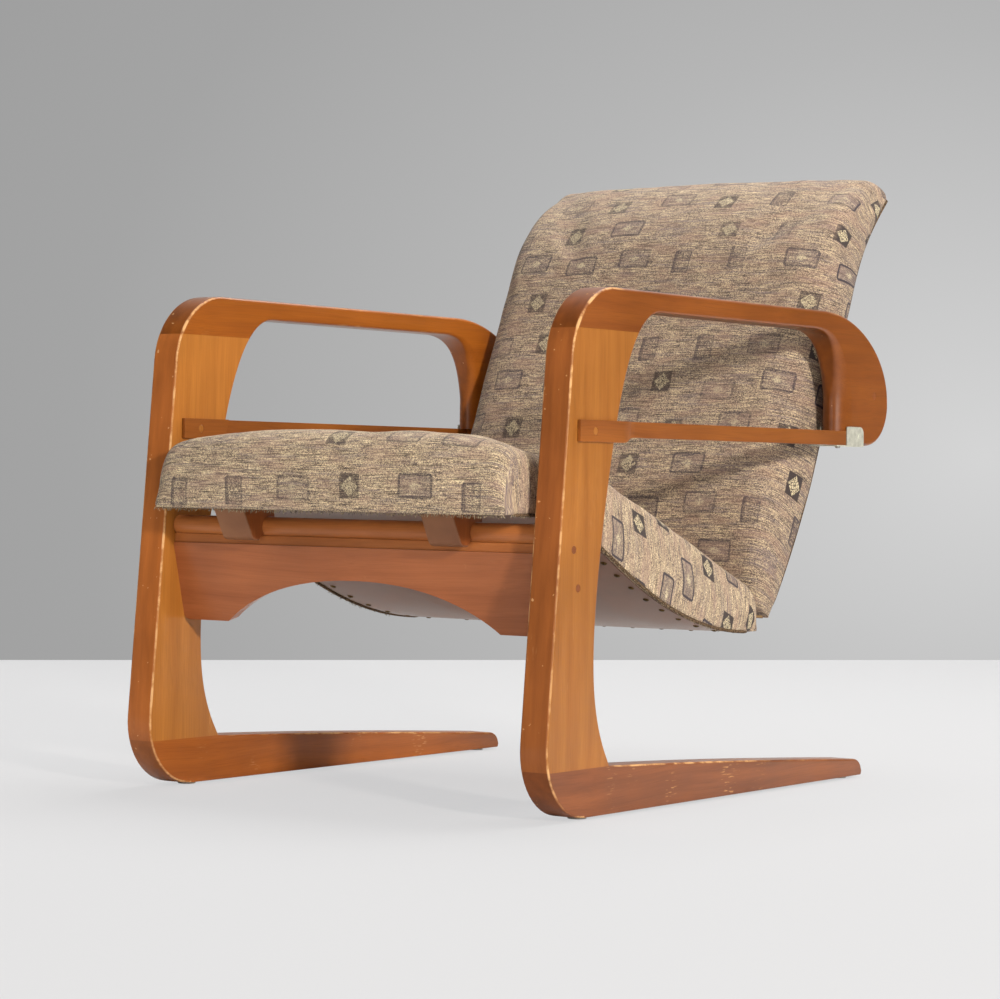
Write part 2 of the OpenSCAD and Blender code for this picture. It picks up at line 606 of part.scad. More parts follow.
// Cross bars, apron and the strip between them
arch_w = in_x - apron_foot;
arch_half = bez([[arch_w, 0], [0.85 * arch_w, 0.42 * arch_h], [0.55 * arch_w, arch_h], [0, arch_h]], 14);
apron_half = concat([[in_x, apron_depth + 10]],
    arc([in_x - apron_r, apron_r], apron_r, 0, -90, 4), arch_half);
apron_front = concat(apron_half, [for (p = flip(apron_half)) if (p[0] > 0) [-p[0], p[1]]]);
module apron() {
    color(wood_red) difference() {
        intersection() {
            translate([0, apron_top[0], apron_top[1]]) rotate([apron_tilt, 0, 0])
                translate([0, apron_t, -apron_depth]) rotate([90, 0, 0])
                linear_extrude(apron_t) polygon(apron_front);
            block(-in_x, in_x, -past, past, 0, strip_low);
        }
        both() frame_screw(apron_screw, fit);
    }
}
module bearer_strip() {
    color(wood_dark) difference() {
        block(-in_x, in_x, bar_y - strip_t / 2, bar_y + strip_t / 2, strip_low, strip_low + strip_h);
        rod_x(-in_x - 1, in_x + 1, bar_y, bar_z, bar_d);
        both() frame_screw(strip_mid, fit);
    }
}
module front_bar() {
    color(wood_red) union() {
        rod_x(-in_x + bar_end_gap, in_x - bar_end_gap, bar_y, bar_z, bar_d);
        rod_x(-in_x - bar_tenon_len, in_x + bar_tenon_len, bar_y, bar_z, bar_tenon_d);
    }
}
module rear_bar() {
    color(wood_red) difference() {
        rod_x(-in_x, in_x, rear_bar_y, rear_bar_z, bar_d);
        both() frame_screw(rear_bar_c, fit);
    }
}

// Hooks over the front bar, with a leather facing and screws up into the seat
hook_top = [nose_in, seat_low_in];
hook_lip = [bar_y, bar_z] + lip_r * [cos(lip_angle), sin(lip_angle)];
chin_ahead = 13;      // lower front corner of the hook ahead of its lip
chin_rise = 3;        // that corner above the lip
hook_chin = hook_lip + [-chin_ahead, chin_rise];
hook_heel = 11;       // rear face of the hook behind the bar's axis
hook_rear_y = bar_y + hook_heel;
hook_front = concat([hook_top, hook_chin],
    rest_of(bez([hook_chin, hook_chin + [2, -3], hook_lip - [4, 0.4], hook_lip], 4)));
hook_outline = concat(hook_front, [[bar_y, bar_z]],
    [[bar_y, bar_z + bar_d / 2 + hook_gap], [hook_rear_y, bar_z + bar_d / 2 + hook_gap]],
    [[hook_rear_y, seat_low_in]]);
hook_screw_in = [12, 5.5]; // hook's front and rear faces to its screws
hook_screw_ys = [nose_in + hook_screw_in[0], hook_rear_y - hook_screw_in[1]];
hook_screw_down = [14, 9]; // how far each screw reaches down into the hook
hook_screw_up = 16;   // how far the screws reach up into the seat's rail
hook_rail_ahead = 15; // front face of the seat's hook rail ahead of the bar's axis
hook_rail_over = 3;   // rear face of that rail behind the hook
module hook_screw(gap) {
    for (i = [0, 1]) translate([hook_x, hook_screw_ys[i], seat_low_in - hook_screw_down[i] - gap])
        cylinder(h = hook_screw_down[i] + hook_screw_up + 2 * gap, d = hook_screw_d + 2 * gap);
}
module hook(m) {
    color(wood_red) on_side(m) difference() {
        slab(hook_x - hook_w / 2, hook_x + hook_w / 2, hook_outline);
        rod_x(0, in_x, bar_y, bar_z, bar_d + 2 * hook_gap);
        hook_screw(fit);
    }
}
module hook_facings() {
    color("#966E55") both() intersection() {
        slab(hook_x - hook_w / 2, hook_x + hook_w / 2,
            concat(hook_front, flip(shift(hook_front, -facing_t))));
        block(hook_x - hook_w, hook_x + hook_w, -past, bar_y, 0, seat_low_z - soft_gap);
    }
}
module hook_screws() { color(steel) both() hook_screw(0); }

// Boards of the seat
module seat_piece(x0, x1, y0, y1, layer, z1) {
    intersection() {
        slab(x0, x1, seat_core(layer));
        block(x0 - 1, x1 + 1, y0, y1, 0, z1);
    }
}
seat_mid_x = board_x - board_t;
cross_layer = soft_gap + web_t;
long_layer = soft_gap + 2 * web_t;
module seat_side_board(m) {
    color(hidden_wood) on_side(m) difference() {
        seat_piece(seat_mid_x, board_x, board_front_y, seat_end_y, cross_layer, past);
        strap_screw_bores();
    }
}
module seat_front_rail() {
    color(hidden_wood) difference() {
        seat_piece(-seat_mid_x, seat_mid_x, board_front_y, board_front_y + board_t, long_layer, past);
        both() hook_screw(fit);
    }
}
module seat_hook_rail() {
    color(hidden_wood) difference() {
        block(-seat_mid_x, seat_mid_x, bar_y - hook_rail_ahead, hook_rear_y + hook_rail_over,
            seat_low_in, seat_low_in + board_t);
        both() hook_screw(fit);
    }
}
module seat_rear_rail() {
    color(hidden_wood) seat_piece(-rail_x, rail_x, tail_y - board_t, tail_y - 1, long_layer, past);
}
function seat_web_y(i) = (0.107 + 0.167 * i) * seat_rear_y;
module seat_cross_webbing() {
    color(webbing) for (i = [0:4]) intersection() {
        slab(-board_x, board_x, concat(shift(seat_base, -soft_gap), flip(shift(seat_base, -cross_layer))));
        block(-board_x, board_x, seat_web_y(i), seat_web_y(i) + web_w, 0, past);
    }
}
long_web_xs = [for (i = [-2:2]) i * 1.6 * web_w];
module seat_long_webbing() {
    color(webbing) for (x = long_web_xs) intersection() {
        slab(x - web_w / 2, x + web_w / 2,
            concat(seat_layer(cross_layer), flip(seat_layer(long_layer))));
        block(-board_x, board_x, board_front_y + 1, tail_y - 1, 0, past);
    }
}
module seat_side_pad(m) {
    color(fabric) on_side(m) slab(board_x + soft_gap, seat_half, concat(
        shift(seat_inner, -soft_gap), [[seat_end_y, tail_z - soft_gap], [seat_end_y, seat_rear_z]],
        flip(seat_under)));
}

// A pad over an outline: its outer face is crowned across the chair and rounded
// at both sides, and its inner face is flat across and a little drawn in
function columns(h, r) = concat(
    [for (a = [0:22.5:90]) [-(h - r + r * cos(a)), 1 - sin(a)]],
    [for (u = [-0.66, -0.33, 0, 0.33, 0.66]) [u * (h - r), 0]],
    [for (a = [90:-22.5:0]) [h - r + r * cos(a), 1 - sin(a)]]);
function bulge(x, h) = 1 - pow(abs(x) / h, 2.4);
module pad(outer, inner, h, r, crowns) {
    cols = columns(h, r);
    n = len(outer);
    m = len(cols);
    top = [for (i = [0:n - 1]) let (d = out_of(outer[i], inner[i]),
        edge = min(r, 0.8 * norm(outer[i] - inner[i])))
        for (c = cols) let (q = outer[i] + d * (crowns[i] * bulge(c[0], h) - edge * c[1]))
        [c[0], q[0], q[1]]];
    low = [for (i = [0:n - 1]) for (c = cols) [c[0] * draw_in, inner[i][0], inner[i][1]]];
    function at(i, j) = i * m + j;
    function quad(a, b, c, d) = [[a, b, c], [a, c, d]];
    k = n * m;
    sheets = [for (i = [0:n - 2]) for (j = [0:m - 2]) for (f = concat(
        quad(at(i, j), at(i + 1, j), at(i + 1, j + 1), at(i, j + 1)),
        quad(k + at(i, j), k + at(i, j + 1), k + at(i + 1, j + 1), k + at(i + 1, j)))) f];
    sides = [for (i = [0:n - 2]) for (f = concat(
        quad(at(i + 1, 0), at(i, 0), k + at(i, 0), k + at(i + 1, 0)),
        quad(at(i, m - 1), at(i + 1, m - 1), k + at(i + 1, m - 1), k + at(i, m - 1)))) f];
    ends = [for (j = [0:m - 2]) for (f = concat(
        quad(at(0, j), at(0, j + 1), k + at(0, j + 1), k + at(0, j)),
        quad(at(n - 1, j + 1), at(n - 1, j), k + at(n - 1, j), k + at(n - 1, j + 1)))) f];
    polyhedron(points = concat(top, low), faces = concat(sheets, sides, ends), convexity = 6);
}
// Shares of the crown at each station: none where seat and back meet
function seat_share(i, n) = max(0, min(roll_share(i), (n - 3 - i) / 6, 1));
function back_share(i, n) = max(0, min((i - 1) / 4, (n - 1 - i) / 6, 1));
module seat_pad() {
    n = len(seat_outer);
    color(fabric) pad(seat_outer, seat_inner, seat_half, seat_edge_r,
        [for (i = [0:n - 1]) seat_crown * seat_share(i, n)]);
}
module underside_cover() {
    color(leather_cloth) intersection() {
        slab(-board_x, board_x, concat(seat_under, flip(shift(seat_under, cover_t))));
        block(-board_x, board_x, hook_rear_y + skirt, seat_rear_y, 0, past);
    }
}

// Tacks: each sits flat on one straight of an outline
function between(p, i) = (p[i] + p[i + 1]) / 2;
function square_to(p, i) = let (d = p[i + 1] - p[i]) [-d[1], d[0]] / norm(d);
tack_len = 9;
tack_shank_d = 1.8;
module tack(x, p, i) {
    c = between(p, i);
    n = square_to(p, i);
    translate([x, c[0], c[1]]) rotate([atan2(n[0], -n[1]), 0, 0]) union() {
        cylinder(h = tack_d / 4, d1 = tack_d, d2 = tack_d / 2);
        translate([0, 0, -tack_len]) cylinder(h = tack_len + 0.5, d = tack_shank_d);
    }
}
tack_x = board_x - board_t / 2;
module tack_row(p, i) {
    steps = floor((tack_x - tack_pitch / 2) / tack_pitch);
    for (k = [-steps:steps]) tack(k * tack_pitch, p, i);
}
module seat_tacks() {
    last = len(seat_under) - 2;
    color(brass) union() {
        both() for (i = [3:last]) tack(tack_x, seat_under, i);
        tack_row(seat_under, last);
    }
}

// Boards, webbing and padding of the back
module back_piece(x0, x1, z0, z1, layer) {
    intersection() {
        slab(x0, x1, back_core(layer));
        block(x0 - 1, x1 + 1, 0, past, z0, z1);
    }
}
module along_back(x, s, d0, d1, dia) {
    p = on_back(s, d0);
    translate([x, p[0], p[1]]) rotate([90 - back_lean, 0, 0]) cylinder(h = d1 - d0, d = dia);
}
module back_stile(m) {
    color(hidden_wood) on_side(m) difference() {
        back_piece(seat_mid_x, board_x, 0, past, cross_layer);
        strap_screw_bores();
    }
}
rail_x = seat_mid_x - strap_t;
top_rail_low = back_h - top_rail_h;
bottom_rail_low = back_low_z + bottom_rail_rise;
module back_top_rail() {
    color(hidden_wood) back_piece(-seat_mid_x, seat_mid_x, top_rail_low, past, long_layer);
}
module back_middle_rail() {
    color(hidden_wood) difference() {
        slab(-seat_mid_x, seat_mid_x, [on_back(rest_s - rest_len / 2, cover_t),
            on_back(rest_s + rest_len / 2, cover_t),
            on_back(rest_s + rest_len / 2, cover_t + board_t),
            on_back(rest_s - rest_len / 2, cover_t + board_t)]);
        both() rest_screw(fit);
    }
}
module back_bottom_rail() {
    color(hidden_wood) back_piece(-rail_x, rail_x,
        bottom_rail_low, bottom_rail_low + bottom_rail_h, long_layer);
}
function back_layer(d) = shift(back_base, -d);
function back_web_z(i) = back_low_z + (0.125 + 0.16 * i) * back_tall;
module back_cross_webbing() {
    color(webbing) for (i = [0:4]) intersection() {
        slab(-board_x, board_x, concat(back_layer(soft_gap), flip(back_layer(cross_layer))));
        block(-board_x, board_x, 0, past, back_web_z(i), back_web_z(i) + web_w);
    }
}
module back_long_webbing() {
    color(webbing) for (x = long_web_xs) intersection() {
        slab(x - web_w / 2, x + web_w / 2, concat(back_layer(cross_layer), flip(back_layer(long_layer))));
        block(-board_x, board_x, 0, past, bottom_rail_low + 1, past);
    }
}
module back_pad() {
    n = len(back_outer);
    color(fabric) pad(back_outer, back_inner, seat_half, back_edge_r,
        [for (i = [0:n - 1]) back_crown * back_share(i, n)]);
}
module back_side_pad(m) {
    color(fabric) on_side(m) slab(board_x + soft_gap, seat_half,
        concat(back_layer(soft_gap), flip(back_rear)));
}
module back_cover() {
    color(leather_cloth) difference() {
        slab(-board_x, board_x, concat(back_rear, flip(shift(back_rear, cover_t))));
        both() rest_screw(fit);
    }
}
module back_tacks() {
    last = len(back_rear) - 2;
    color(brass) union() {
        both() for (i = [0:last]) tack(tack_x, back_rear, i);
        tack_row(back_rear, last);
        tack_row(back_rear, 1);
    }
}

// Rest blocks on the back, with a shallow saddle for the rear bar
rest_t = -rest_d - bar_d / 2 - hook_gap + rest_dip;
rest_slope = 8;
rest_sink = 4;
rest_screw_ss = [rest_s - rest_screw_half, rest_s + rest_screw_half];
module rest_screw(gap) {
    for (s = rest_screw_ss) along_back(rest_x, s, rest_sink - rest_t - gap,
        cover_t + board_t - rest_sink + gap, screw_d + 2 * gap);
}
module rest_block(m) {
    color(wood_red) on_side(m) difference() {
        slab(rest_x - rest_w / 2, rest_x + rest_w / 2, [on_back(rest_s - rest_len / 2, 0),
            on_back(rest_s + rest_len / 2, 0), on_back(rest_s + rest_len / 2 - rest_slope, -rest_t),
            on_back(rest_s - rest_len / 2 + rest_slope, -rest_t)]);
        rod_x(0, in_x, rear_bar_y, rear_bar_z, bar_d + 2 * hook_gap);
        rest_screw(fit);
        for (s = rest_screw_ss) along_back(rest_x, s, -rest_t - 1, rest_sink - rest_t, screw_head_d);
    }
}
module rest_screws() { color(steel) both() rest_screw(0); }

// Steel straps that hold the seat's boards to the back's stiles. Their path and
// screws are set in shares of the strap's run from the seat's rear underside.
strap_run = 86;
strap_bite = 15.5;
strap_path = [for (p = [[-1, 0.36], [-0.36, 0.21], [0.105, 0.22], [0.314, 0.395], [0.535, 0.756],
    [0.895, 1.488]]) [seat_rear_y, seat_rear_z] + strap_run * p];
strap_screw_at = [for (q = [[0, 0.105, -0.023], [0, 0.42, -0.1], [4, 0.116, 0.233], [4, 0.267, 0.535]])
    strap_path[q[0]] + strap_run * [q[1], q[2]]];
module strap_screw_bores() {
    for (p = strap_screw_at) rod_x(seat_mid_x - 1, seat_mid_x + strap_bite + 0.5,
        p[0], p[1], strap_screw_d + 2 * fit);
}
module joining_strap(m) {
    color(steel) on_side(m) difference() {
        slab(rail_x, seat_mid_x,
            concat(shift(strap_path, strap_w / 2), flip(shift(strap_path, -strap_w / 2))));
        for (p = strap_screw_at) rod_x(rail_x - 1, seat_mid_x + 1, p[0], p[1], strap_screw_d + 2 * fit);
    }
}
module strap_screws() {
    color(steel) both() for (p = strap_screw_at) union() {
        rod_x(rail_x - 0.01, seat_mid_x + strap_bite, p[0], p[1], strap_screw_d);
        rod_x(rail_x - strap_screw_d / 2, rail_x, p[0], p[1], 1.85 * strap_screw_d);
    }
}

// The chair in its own frame: the origin is on the floor under its middle
module placed() { translate([0, -y_mid, 0]) children(); }
placed() foot(-1);  // left_foot
placed() foot(1);  // right_foot
placed() leg(-1);  // left_leg
placed() leg(1);  // right_leg
placed() arm(-1);  // left_arm
placed() arm(1);  // right_arm
placed() foot_joint_dowels();
placed() arm_joint_dowels();
placed() side_rail(-1);  // left_side_rail
placed() side_rail(1);  // right_side_rail
placed() rail_cheeks();
placed() rail_pins();
placed() rail_bracket(-1);  // left_rail_bracket
placed() rail_bracket(1);  // right_rail_bracket
placed() bracket_screws();
placed() bracket_pins();
placed() apron();
placed() bearer_strip();
placed() front_bar();
placed() rear_bar();
placed() frame_screws();
placed() frame_plugs();
placed() glides();
placed() hook(-1);  // left_hook
placed() hook(1);  // right_hook
placed() hook_facings();
placed() hook_screws();
placed() seat_side_board(-1);  // seat_left_board
placed() seat_side_board(1);  // seat_right_board
placed() seat_front_rail();
placed() seat_hook_rail();
placed() seat_rear_rail();
placed() seat_cross_webbing();
placed() seat_long_webbing();
placed() seat_pad();
placed() seat_side_pad(-1);  // seat_left_side_pad
placed() seat_side_pad(1);  // seat_right_side_pad
placed() underside_cover();
placed() seat_tacks();
placed() back_stile(-1);  // back_left_stile
placed() back_stile(1);  // back_right_stile
placed() back_top_rail();
placed() back_middle_rail();
placed() back_bottom_rail();
placed() back_cross_webbing();
placed() back_long_webbing();
placed() back_pad();
placed() back_side_pad(-1);  // back_left_side_pad
placed() back_side_pad(1);  // back_right_side_pad
placed() back_cover();
placed() back_tacks();
placed() rest_block(-1);  // left_rest_block
placed() rest_block(1);  // right_rest_block
placed() rest_screws();
placed() joining_strap(-1);  // left_joining_strap
placed() joining_strap(1);  // right_joining_strap
placed() strap_screws();
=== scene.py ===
# %% [markdown]
# A timber lounge chair with an upholstered seat and back
#
# Two C-shaped side frames stand on pale glides. An arched apron, a round front bar
# and a round rear bar join them. The seat and the back are one upholstered unit
# that hooks over the front bar and leans on the rear bar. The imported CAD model
# holds every solid at real size, and this lesson dresses it: rounded and worn
# timber, cloth that was sewn and stuffed, leather-cloth, steel and tacks. Each
# piece is made in place, in metres, so nothing has to be fitted afterwards.

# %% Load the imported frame
import math
import bmesh
import bpy
import numpy as np
from mathutils import Matrix, Vector, noise


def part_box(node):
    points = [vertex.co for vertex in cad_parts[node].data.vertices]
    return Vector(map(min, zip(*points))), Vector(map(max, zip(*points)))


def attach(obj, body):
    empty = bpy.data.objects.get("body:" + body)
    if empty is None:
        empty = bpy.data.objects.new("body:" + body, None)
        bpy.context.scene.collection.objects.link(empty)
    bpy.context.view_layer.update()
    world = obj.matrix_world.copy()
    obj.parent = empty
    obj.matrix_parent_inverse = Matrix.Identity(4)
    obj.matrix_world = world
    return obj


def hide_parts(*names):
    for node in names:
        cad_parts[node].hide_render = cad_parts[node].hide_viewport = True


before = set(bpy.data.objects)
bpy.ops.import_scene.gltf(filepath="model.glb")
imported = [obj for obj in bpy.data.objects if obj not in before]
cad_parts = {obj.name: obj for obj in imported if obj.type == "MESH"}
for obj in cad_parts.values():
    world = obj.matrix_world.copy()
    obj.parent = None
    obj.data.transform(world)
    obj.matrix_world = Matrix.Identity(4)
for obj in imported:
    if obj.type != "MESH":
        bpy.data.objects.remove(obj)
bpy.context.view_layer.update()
scene = bpy.context.scene
bar_low, bar_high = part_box("front_bar")
BAR_Y = 57
MID_Y = BAR_Y - 500 * (bar_low.y + bar_high.y)

# %% [markdown]
# Sizes and curves
#
# The chair was drawn as a side view: Y runs back from the toe line, where the
# front of the legs would meet the floor, and Z runs up, both in millimetres. The
# same Bezier curves shape the solids and the dressed pieces, so a rounded arm sits
# exactly where the CAD arm is. One function turns millimetres in that drawing into
# metres in the shared frame.

# %% Sizes in millimetres and curve helpers
HALF_W, TIMBER_T, ARM_H, ARM_T = 310.0, 38.0, 612.0, 24.5
FRAME_LEN, CURL_W, LEAN = 833.0, 133.0, math.radians(5.2)
FOOT_JOINT_Z, ARM_JOINT_Z, RAIL_Z, RAIL_TOP = 59.0, 562.0, 439.0, 457.5
SEAT_HALF, SEAT_H, SEAT_LOW, SEAT_REAR_Y, SEAT_REAR_Z = 259.0, 437.0, 347.5, 576.0, 197.0
BACK_H, BACK_REAR_Y, BACK_LEAN = 803.0, 916.0, math.radians(23)


def place(x, y, z):
    return (x / 1000, (y - MID_Y) / 1000, z / 1000)


def bezier(a, b, c, d, n):
    t = np.linspace(0, 1, n + 1)[:, None]
    a, b, c, d = (np.array(p, float) for p in (a, b, c, d))
    return (1 - t) ** 3 * a + 3 * t * (1 - t) ** 2 * b + 3 * t * t * (1 - t) * c + t ** 3 * d


def straight(a, b, n):
    t = np.linspace(0, 1, n + 1)[:, None]
    return np.array(a, float) * (1 - t) + np.array(b, float) * t


def arc(centre, r, from_deg, to_deg, n):
    a = np.radians(np.linspace(from_deg, to_deg, n + 1))
    return np.array(centre) + r * np.stack([np.cos(a), np.sin(a)], 1)


def front_y(z):
    return z * math.tan(LEAN)


def corner_y(r, z):
    return (r + z * math.sin(LEAN)) / math.cos(LEAN)


def run_along(points):
    """The distance along a line of points, at each of them."""
    return np.concatenate([[0], np.cumsum(np.linalg.norm(np.diff(points, axis=0), axis=1))])


def unit(ways):
    return ways / np.maximum(np.linalg.norm(ways, axis=1), 1e-9)[:, None]


def flow_of(points):
    """Which way a line of points runs, at each of them."""
    return unit(np.gradient(points, axis=0))


def left_of(flow):
    return np.stack([-flow[:, 1], flow[:, 0]], 1)


print("arm top", ARM_H, "mm, seat front", SEAT_H, "mm, back", BACK_H, "mm")

# %% [markdown]
# Materials
#
# Each finish is built from nodes, so it has no image to repeat or blur. Colours
# are written as sRGB hex values, as a paint card would give them, and one function
# turns them to the linear values that Cycles mixes. A small class adds each kind of
# node with its settings and its links. Everything else is a recipe: a grain or weave
# at its real size, a slower change of tone over it, and a surface gloss.

# %% Colour and node helpers
def linear(code):
    parts = [int(code[i:i + 2], 16) / 255 for i in (1, 3, 5)]
    return [c / 12.92 if c < 0.04045 else ((c + 0.055) / 1.055) ** 2.4 for c in parts] + [1.0]


class Nodes:
    """A node tree. Each method adds one node and gives back its result; values may be numbers,
    sockets or hex colours."""

    def __init__(self, tree):
        self.tree = tree

    def add(self, kind, inputs=None, stops=None, **settings):
        node = self.tree.nodes.new(kind)
        for key, value in settings.items():
            setattr(node, key, value)
        for key, value in (inputs or {}).items():
            if isinstance(value, bpy.types.NodeSocket):
                self.tree.links.new(value, node.inputs[key])
            else:
                node.inputs[key].default_value = linear(value) if str(value).startswith("#") else value
        if stops:
            while len(node.color_ramp.elements) < len(stops):
                node.color_ramp.elements.new(0.5)
            for element, (at, colour) in zip(node.color_ramp.elements, stops):
                element.position = at
                element.color = linear(colour)
        return node

    def result(self, kind, inputs=None, socket=0, **settings):
        return self.add(kind, inputs, **settings).outputs[socket]

    def maths(self, how, *values, **settings):
        return self.result("ShaderNodeMath", dict(enumerate(values)), operation=how, **settings)

    def vector(self, how, *values):
        return self.result("ShaderNodeVectorMath", dict(enumerate(values)), operation=how)

    def scaled(self, vector, by):
        return self.result("ShaderNodeVectorMath", {0: vector, "Scale": by}, operation="SCALE")

    def length(self, vector):
        return self.result("ShaderNodeVectorMath", {0: vector}, "Value", operation="LENGTH")

    def split(self, vector):
        return self.add("ShaderNodeSeparateXYZ", {0: vector}).outputs

    def noise(self, where, scale, detail=2.0, rough=0.5, bend=0.0, out=0):
        inputs = {"Vector": where, "Scale": scale, "Detail": detail, "Roughness": rough, "Distortion": bend}
        return self.result("ShaderNodeTexNoise", inputs, out)

    def stretched(self, where, scale, turn=(0, 0, 0)):
        return self.result("ShaderNodeMapping", {"Vector": where, "Scale": scale, "Rotation": turn})

    def remap(self, value, low, high, to_low=0.0, to_high=1.0, **settings):
        """Carry low..high over to to_low..to_high."""
        inputs = {0: value, 1: low, 2: high, 3: to_low, 4: to_high}
        return self.result("ShaderNodeMapRange", inputs, **settings)

    def ramp(self, value, stops):
        return self.result("ShaderNodeValToRGB", {0: value}, stops=stops)

    def blend(self, share, below, above, how="MIX"):
        inputs = {0: share, 6: below, 7: above}
        return self.result("ShaderNodeMix", inputs, 2, data_type="RGBA", blend_type=how)

    def mix_shaders(self, share, below, above):
        return self.result("ShaderNodeMixShader", {0: share, 1: below, 2: above})

    def object_space(self):
        return self.result("ShaderNodeTexCoord", socket="Object")

    def sideways(self):
        """How far the surface faces along X: 1 on the outer face of a side, 0 on top."""
        normal = self.add("ShaderNodeNewGeometry").outputs["Normal"]
        return self.maths("ABSOLUTE", self.split(normal)[0])

    def bump(self, strength, depth, height):
        return self.result("ShaderNodeBump", {"Strength": strength, "Distance": depth, "Height": height})

    def close(self, colour, rough, relief, **more):
        inputs = {"Base Color": colour, "Roughness": rough, "Normal": relief}
        inputs.update({key.replace("_", " "): value for key, value in more.items()})
        self.add("ShaderNodeOutputMaterial", {"Surface": self.result("ShaderNodeBsdfPrincipled", inputs)})


def new_material(name):
    made = bpy.data.materials.new(name)
    made.use_nodes = True
    made.node_tree.nodes.clear()
    return made, Nodes(made.node_tree)


print("helpers ready; white is", [round(c, 3) for c in linear("#FFFFFF")])

# %% [markdown]
# Varnished timber
#
# The frame is a pale hardwood under an old amber varnish. A sawn board shows long
# soft bands of colour with fine pore lines in them, all running along the piece,
# and the narrow edges are darker and redder than the broad faces: partly stain that
# went in deeper, partly painted shade on faces turned away from the side light. Where
# hands and shoes rub, the varnish is gone from the corners and pale wood shows.
# The grain is noise stretched along one axis in Object coordinates: pores about a
# millimetre wide, bands about twelve. The face of a board looks along X, so the
# surface direction tells an edge from a face.

# %% The timber recipe
def timber(name, face_pale, face_deep, edge_stain_and_shade_tone, along, redden=1.0, wear=1.0, worn="#DFAE78"):
    made, nodes = new_material(name)
    where = nodes.object_space()

    def grain(across, lengthways):
        """Noise scale in waves to a metre, across the grain and along it."""
        return [lengthways if axis == along else across for axis in "XYZ"]

    bent = nodes.scaled(nodes.noise(where, 4.0, 1.0, out="Color"), 0.02)
    grown = nodes.vector("ADD", where, bent)
    bands = nodes.noise(nodes.stretched(grown, grain(60, 3.2)), 1.0, 5.0, 0.55)
    pores = nodes.noise(nodes.stretched(grown, grain(850, 9)), 1.0, 3.0, 0.6)
    tone = nodes.ramp(bands, [(0.25, face_deep), (0.72, face_pale)])
    faces = nodes.blend(1.0, tone, nodes.remap(pores, 0.30, 0.55, 0.86, 1.03), "MULTIPLY")
    # Narrow faces of the boards: darker and redder, in streaks that follow the bands; partly stain that went
    # in deeper, partly painted shade on faces turned away from the side light
    edge_share = nodes.remap(nodes.sideways(), 0.15, 0.85, redden, 0.0, interpolation_type="SMOOTHSTEP")
    streaks = nodes.remap(bands, 0.28, 0.72, 0.78, 1.20)
    edges = nodes.blend(1.0, nodes.blend(0.75, faces, edge_stain_and_shade_tone), streaks, "MULTIPLY")
    wood = nodes.blend(edge_share, faces, edges)
    # Handling marks: a slow cloud of darker varnish
    cloud = nodes.noise(where, 7.0)
    aged = nodes.blend(1.0, wood, nodes.remap(cloud, 0.3, 0.7, 0.86, 1.10), "MULTIPLY")
    # Rubbed corners, from the attribute that the rounded pieces carry
    rub = nodes.add("ShaderNodeAttribute", attribute_name="corner").outputs["Fac"]
    patch = nodes.remap(nodes.noise(where, 45.0, 4.0, 0.65), 0.40, 0.58, 0.25, 1.0)
    spell = nodes.remap(nodes.noise(where, 8.0, 1.0), 0.42, 0.58, 0.35, 1.0)
    rubbed = nodes.maths("MULTIPLY", rub, nodes.maths("MULTIPLY", patch, spell))
    shown = nodes.remap(rubbed, 0.18, 0.75, 0.0, 0.85 * wear)
    # Small chips, a few millimetres across, mostly on the narrow edges
    chip = nodes.remap(nodes.noise(where, 150.0, 1.0), 0.745, 0.765, 0.0, 0.6 * wear)
    chipped = nodes.maths("MULTIPLY", chip, edge_share)
    # Scuffs: bunches of thin scratches, most of them near the floor
    scratch = nodes.noise(nodes.stretched(where, grain(480, 55), (0.25, 0.1, 0.2)), 1.0)
    line = nodes.remap(scratch, 0.60, 0.68, 0.0, 0.6 * wear)
    bunch = nodes.remap(nodes.noise(where, 11.0, 1.0), 0.58, 0.66)
    low_down = nodes.remap(nodes.split(where)[2], 0.09, 0.20, 1.0, 0.12)
    scuff = nodes.maths("MULTIPLY", nodes.maths("MULTIPLY", line, bunch), low_down)
    bare = nodes.maths("MAXIMUM", shown, nodes.maths("MAXIMUM", chipped, scuff))
    gloss = nodes.remap(cloud, 0.3, 0.7, 0.30, 0.42)
    nodes.close(nodes.blend(bare, aged, worn), nodes.maths("ADD", gloss, bare, use_clamp=True),
                nodes.bump(0.12, 0.0004, pores),
                Specular_IOR_Level=0.28, Coat_Weight=0.10, Coat_Roughness=0.16)
    return made


def varnished(piece, *tones, **wear):
    return timber("varnished_beech_" + piece, *tones, **wear)


# One wood on both sides: the right leg, arm and foot carry darker copies of it, painted shade, and the left
# ones lighter copies, painted light, evening out how the lamps fall on each side.
RIGHT_LEG_WOOD_PAINTED_DARKER = varnished("right_leg", "#A4692C", "#8E551F", "#904D22", "Z")
LEFT_LEG_WOOD_PAINTED_LIGHTER = varnished("left_leg", "#B77632", "#A36427", "#B0602A", "Z")
RIGHT_ARM_WOOD_PAINTED_DARKER = varnished("right_arm", "#874B18", "#733B12", "#6E380E", "Y")
LEFT_ARM_WOOD_PAINTED_LIGHTER = varnished("left_arm", "#A15A18", "#894813", "#7C4110", "Y")
FOOT_WOOD_PAINTED_DARKER = varnished("foot", "#8C5029", "#6E3C1E", "#80431A", "Y")
LEFT_FOOT_WOOD_PAINTED_LIGHTER = varnished("left_foot", "#AC6024", "#8C4A19", "#91501D", "Y")
RAIL_WOOD = varnished("rail", "#93551F", "#784118", "#83491A", "Y", wear=0.6)
APRON_WOOD = varnished("apron", "#AE673D", "#98552F", "#9A5832", "X", redden=0.15, wear=0.6)
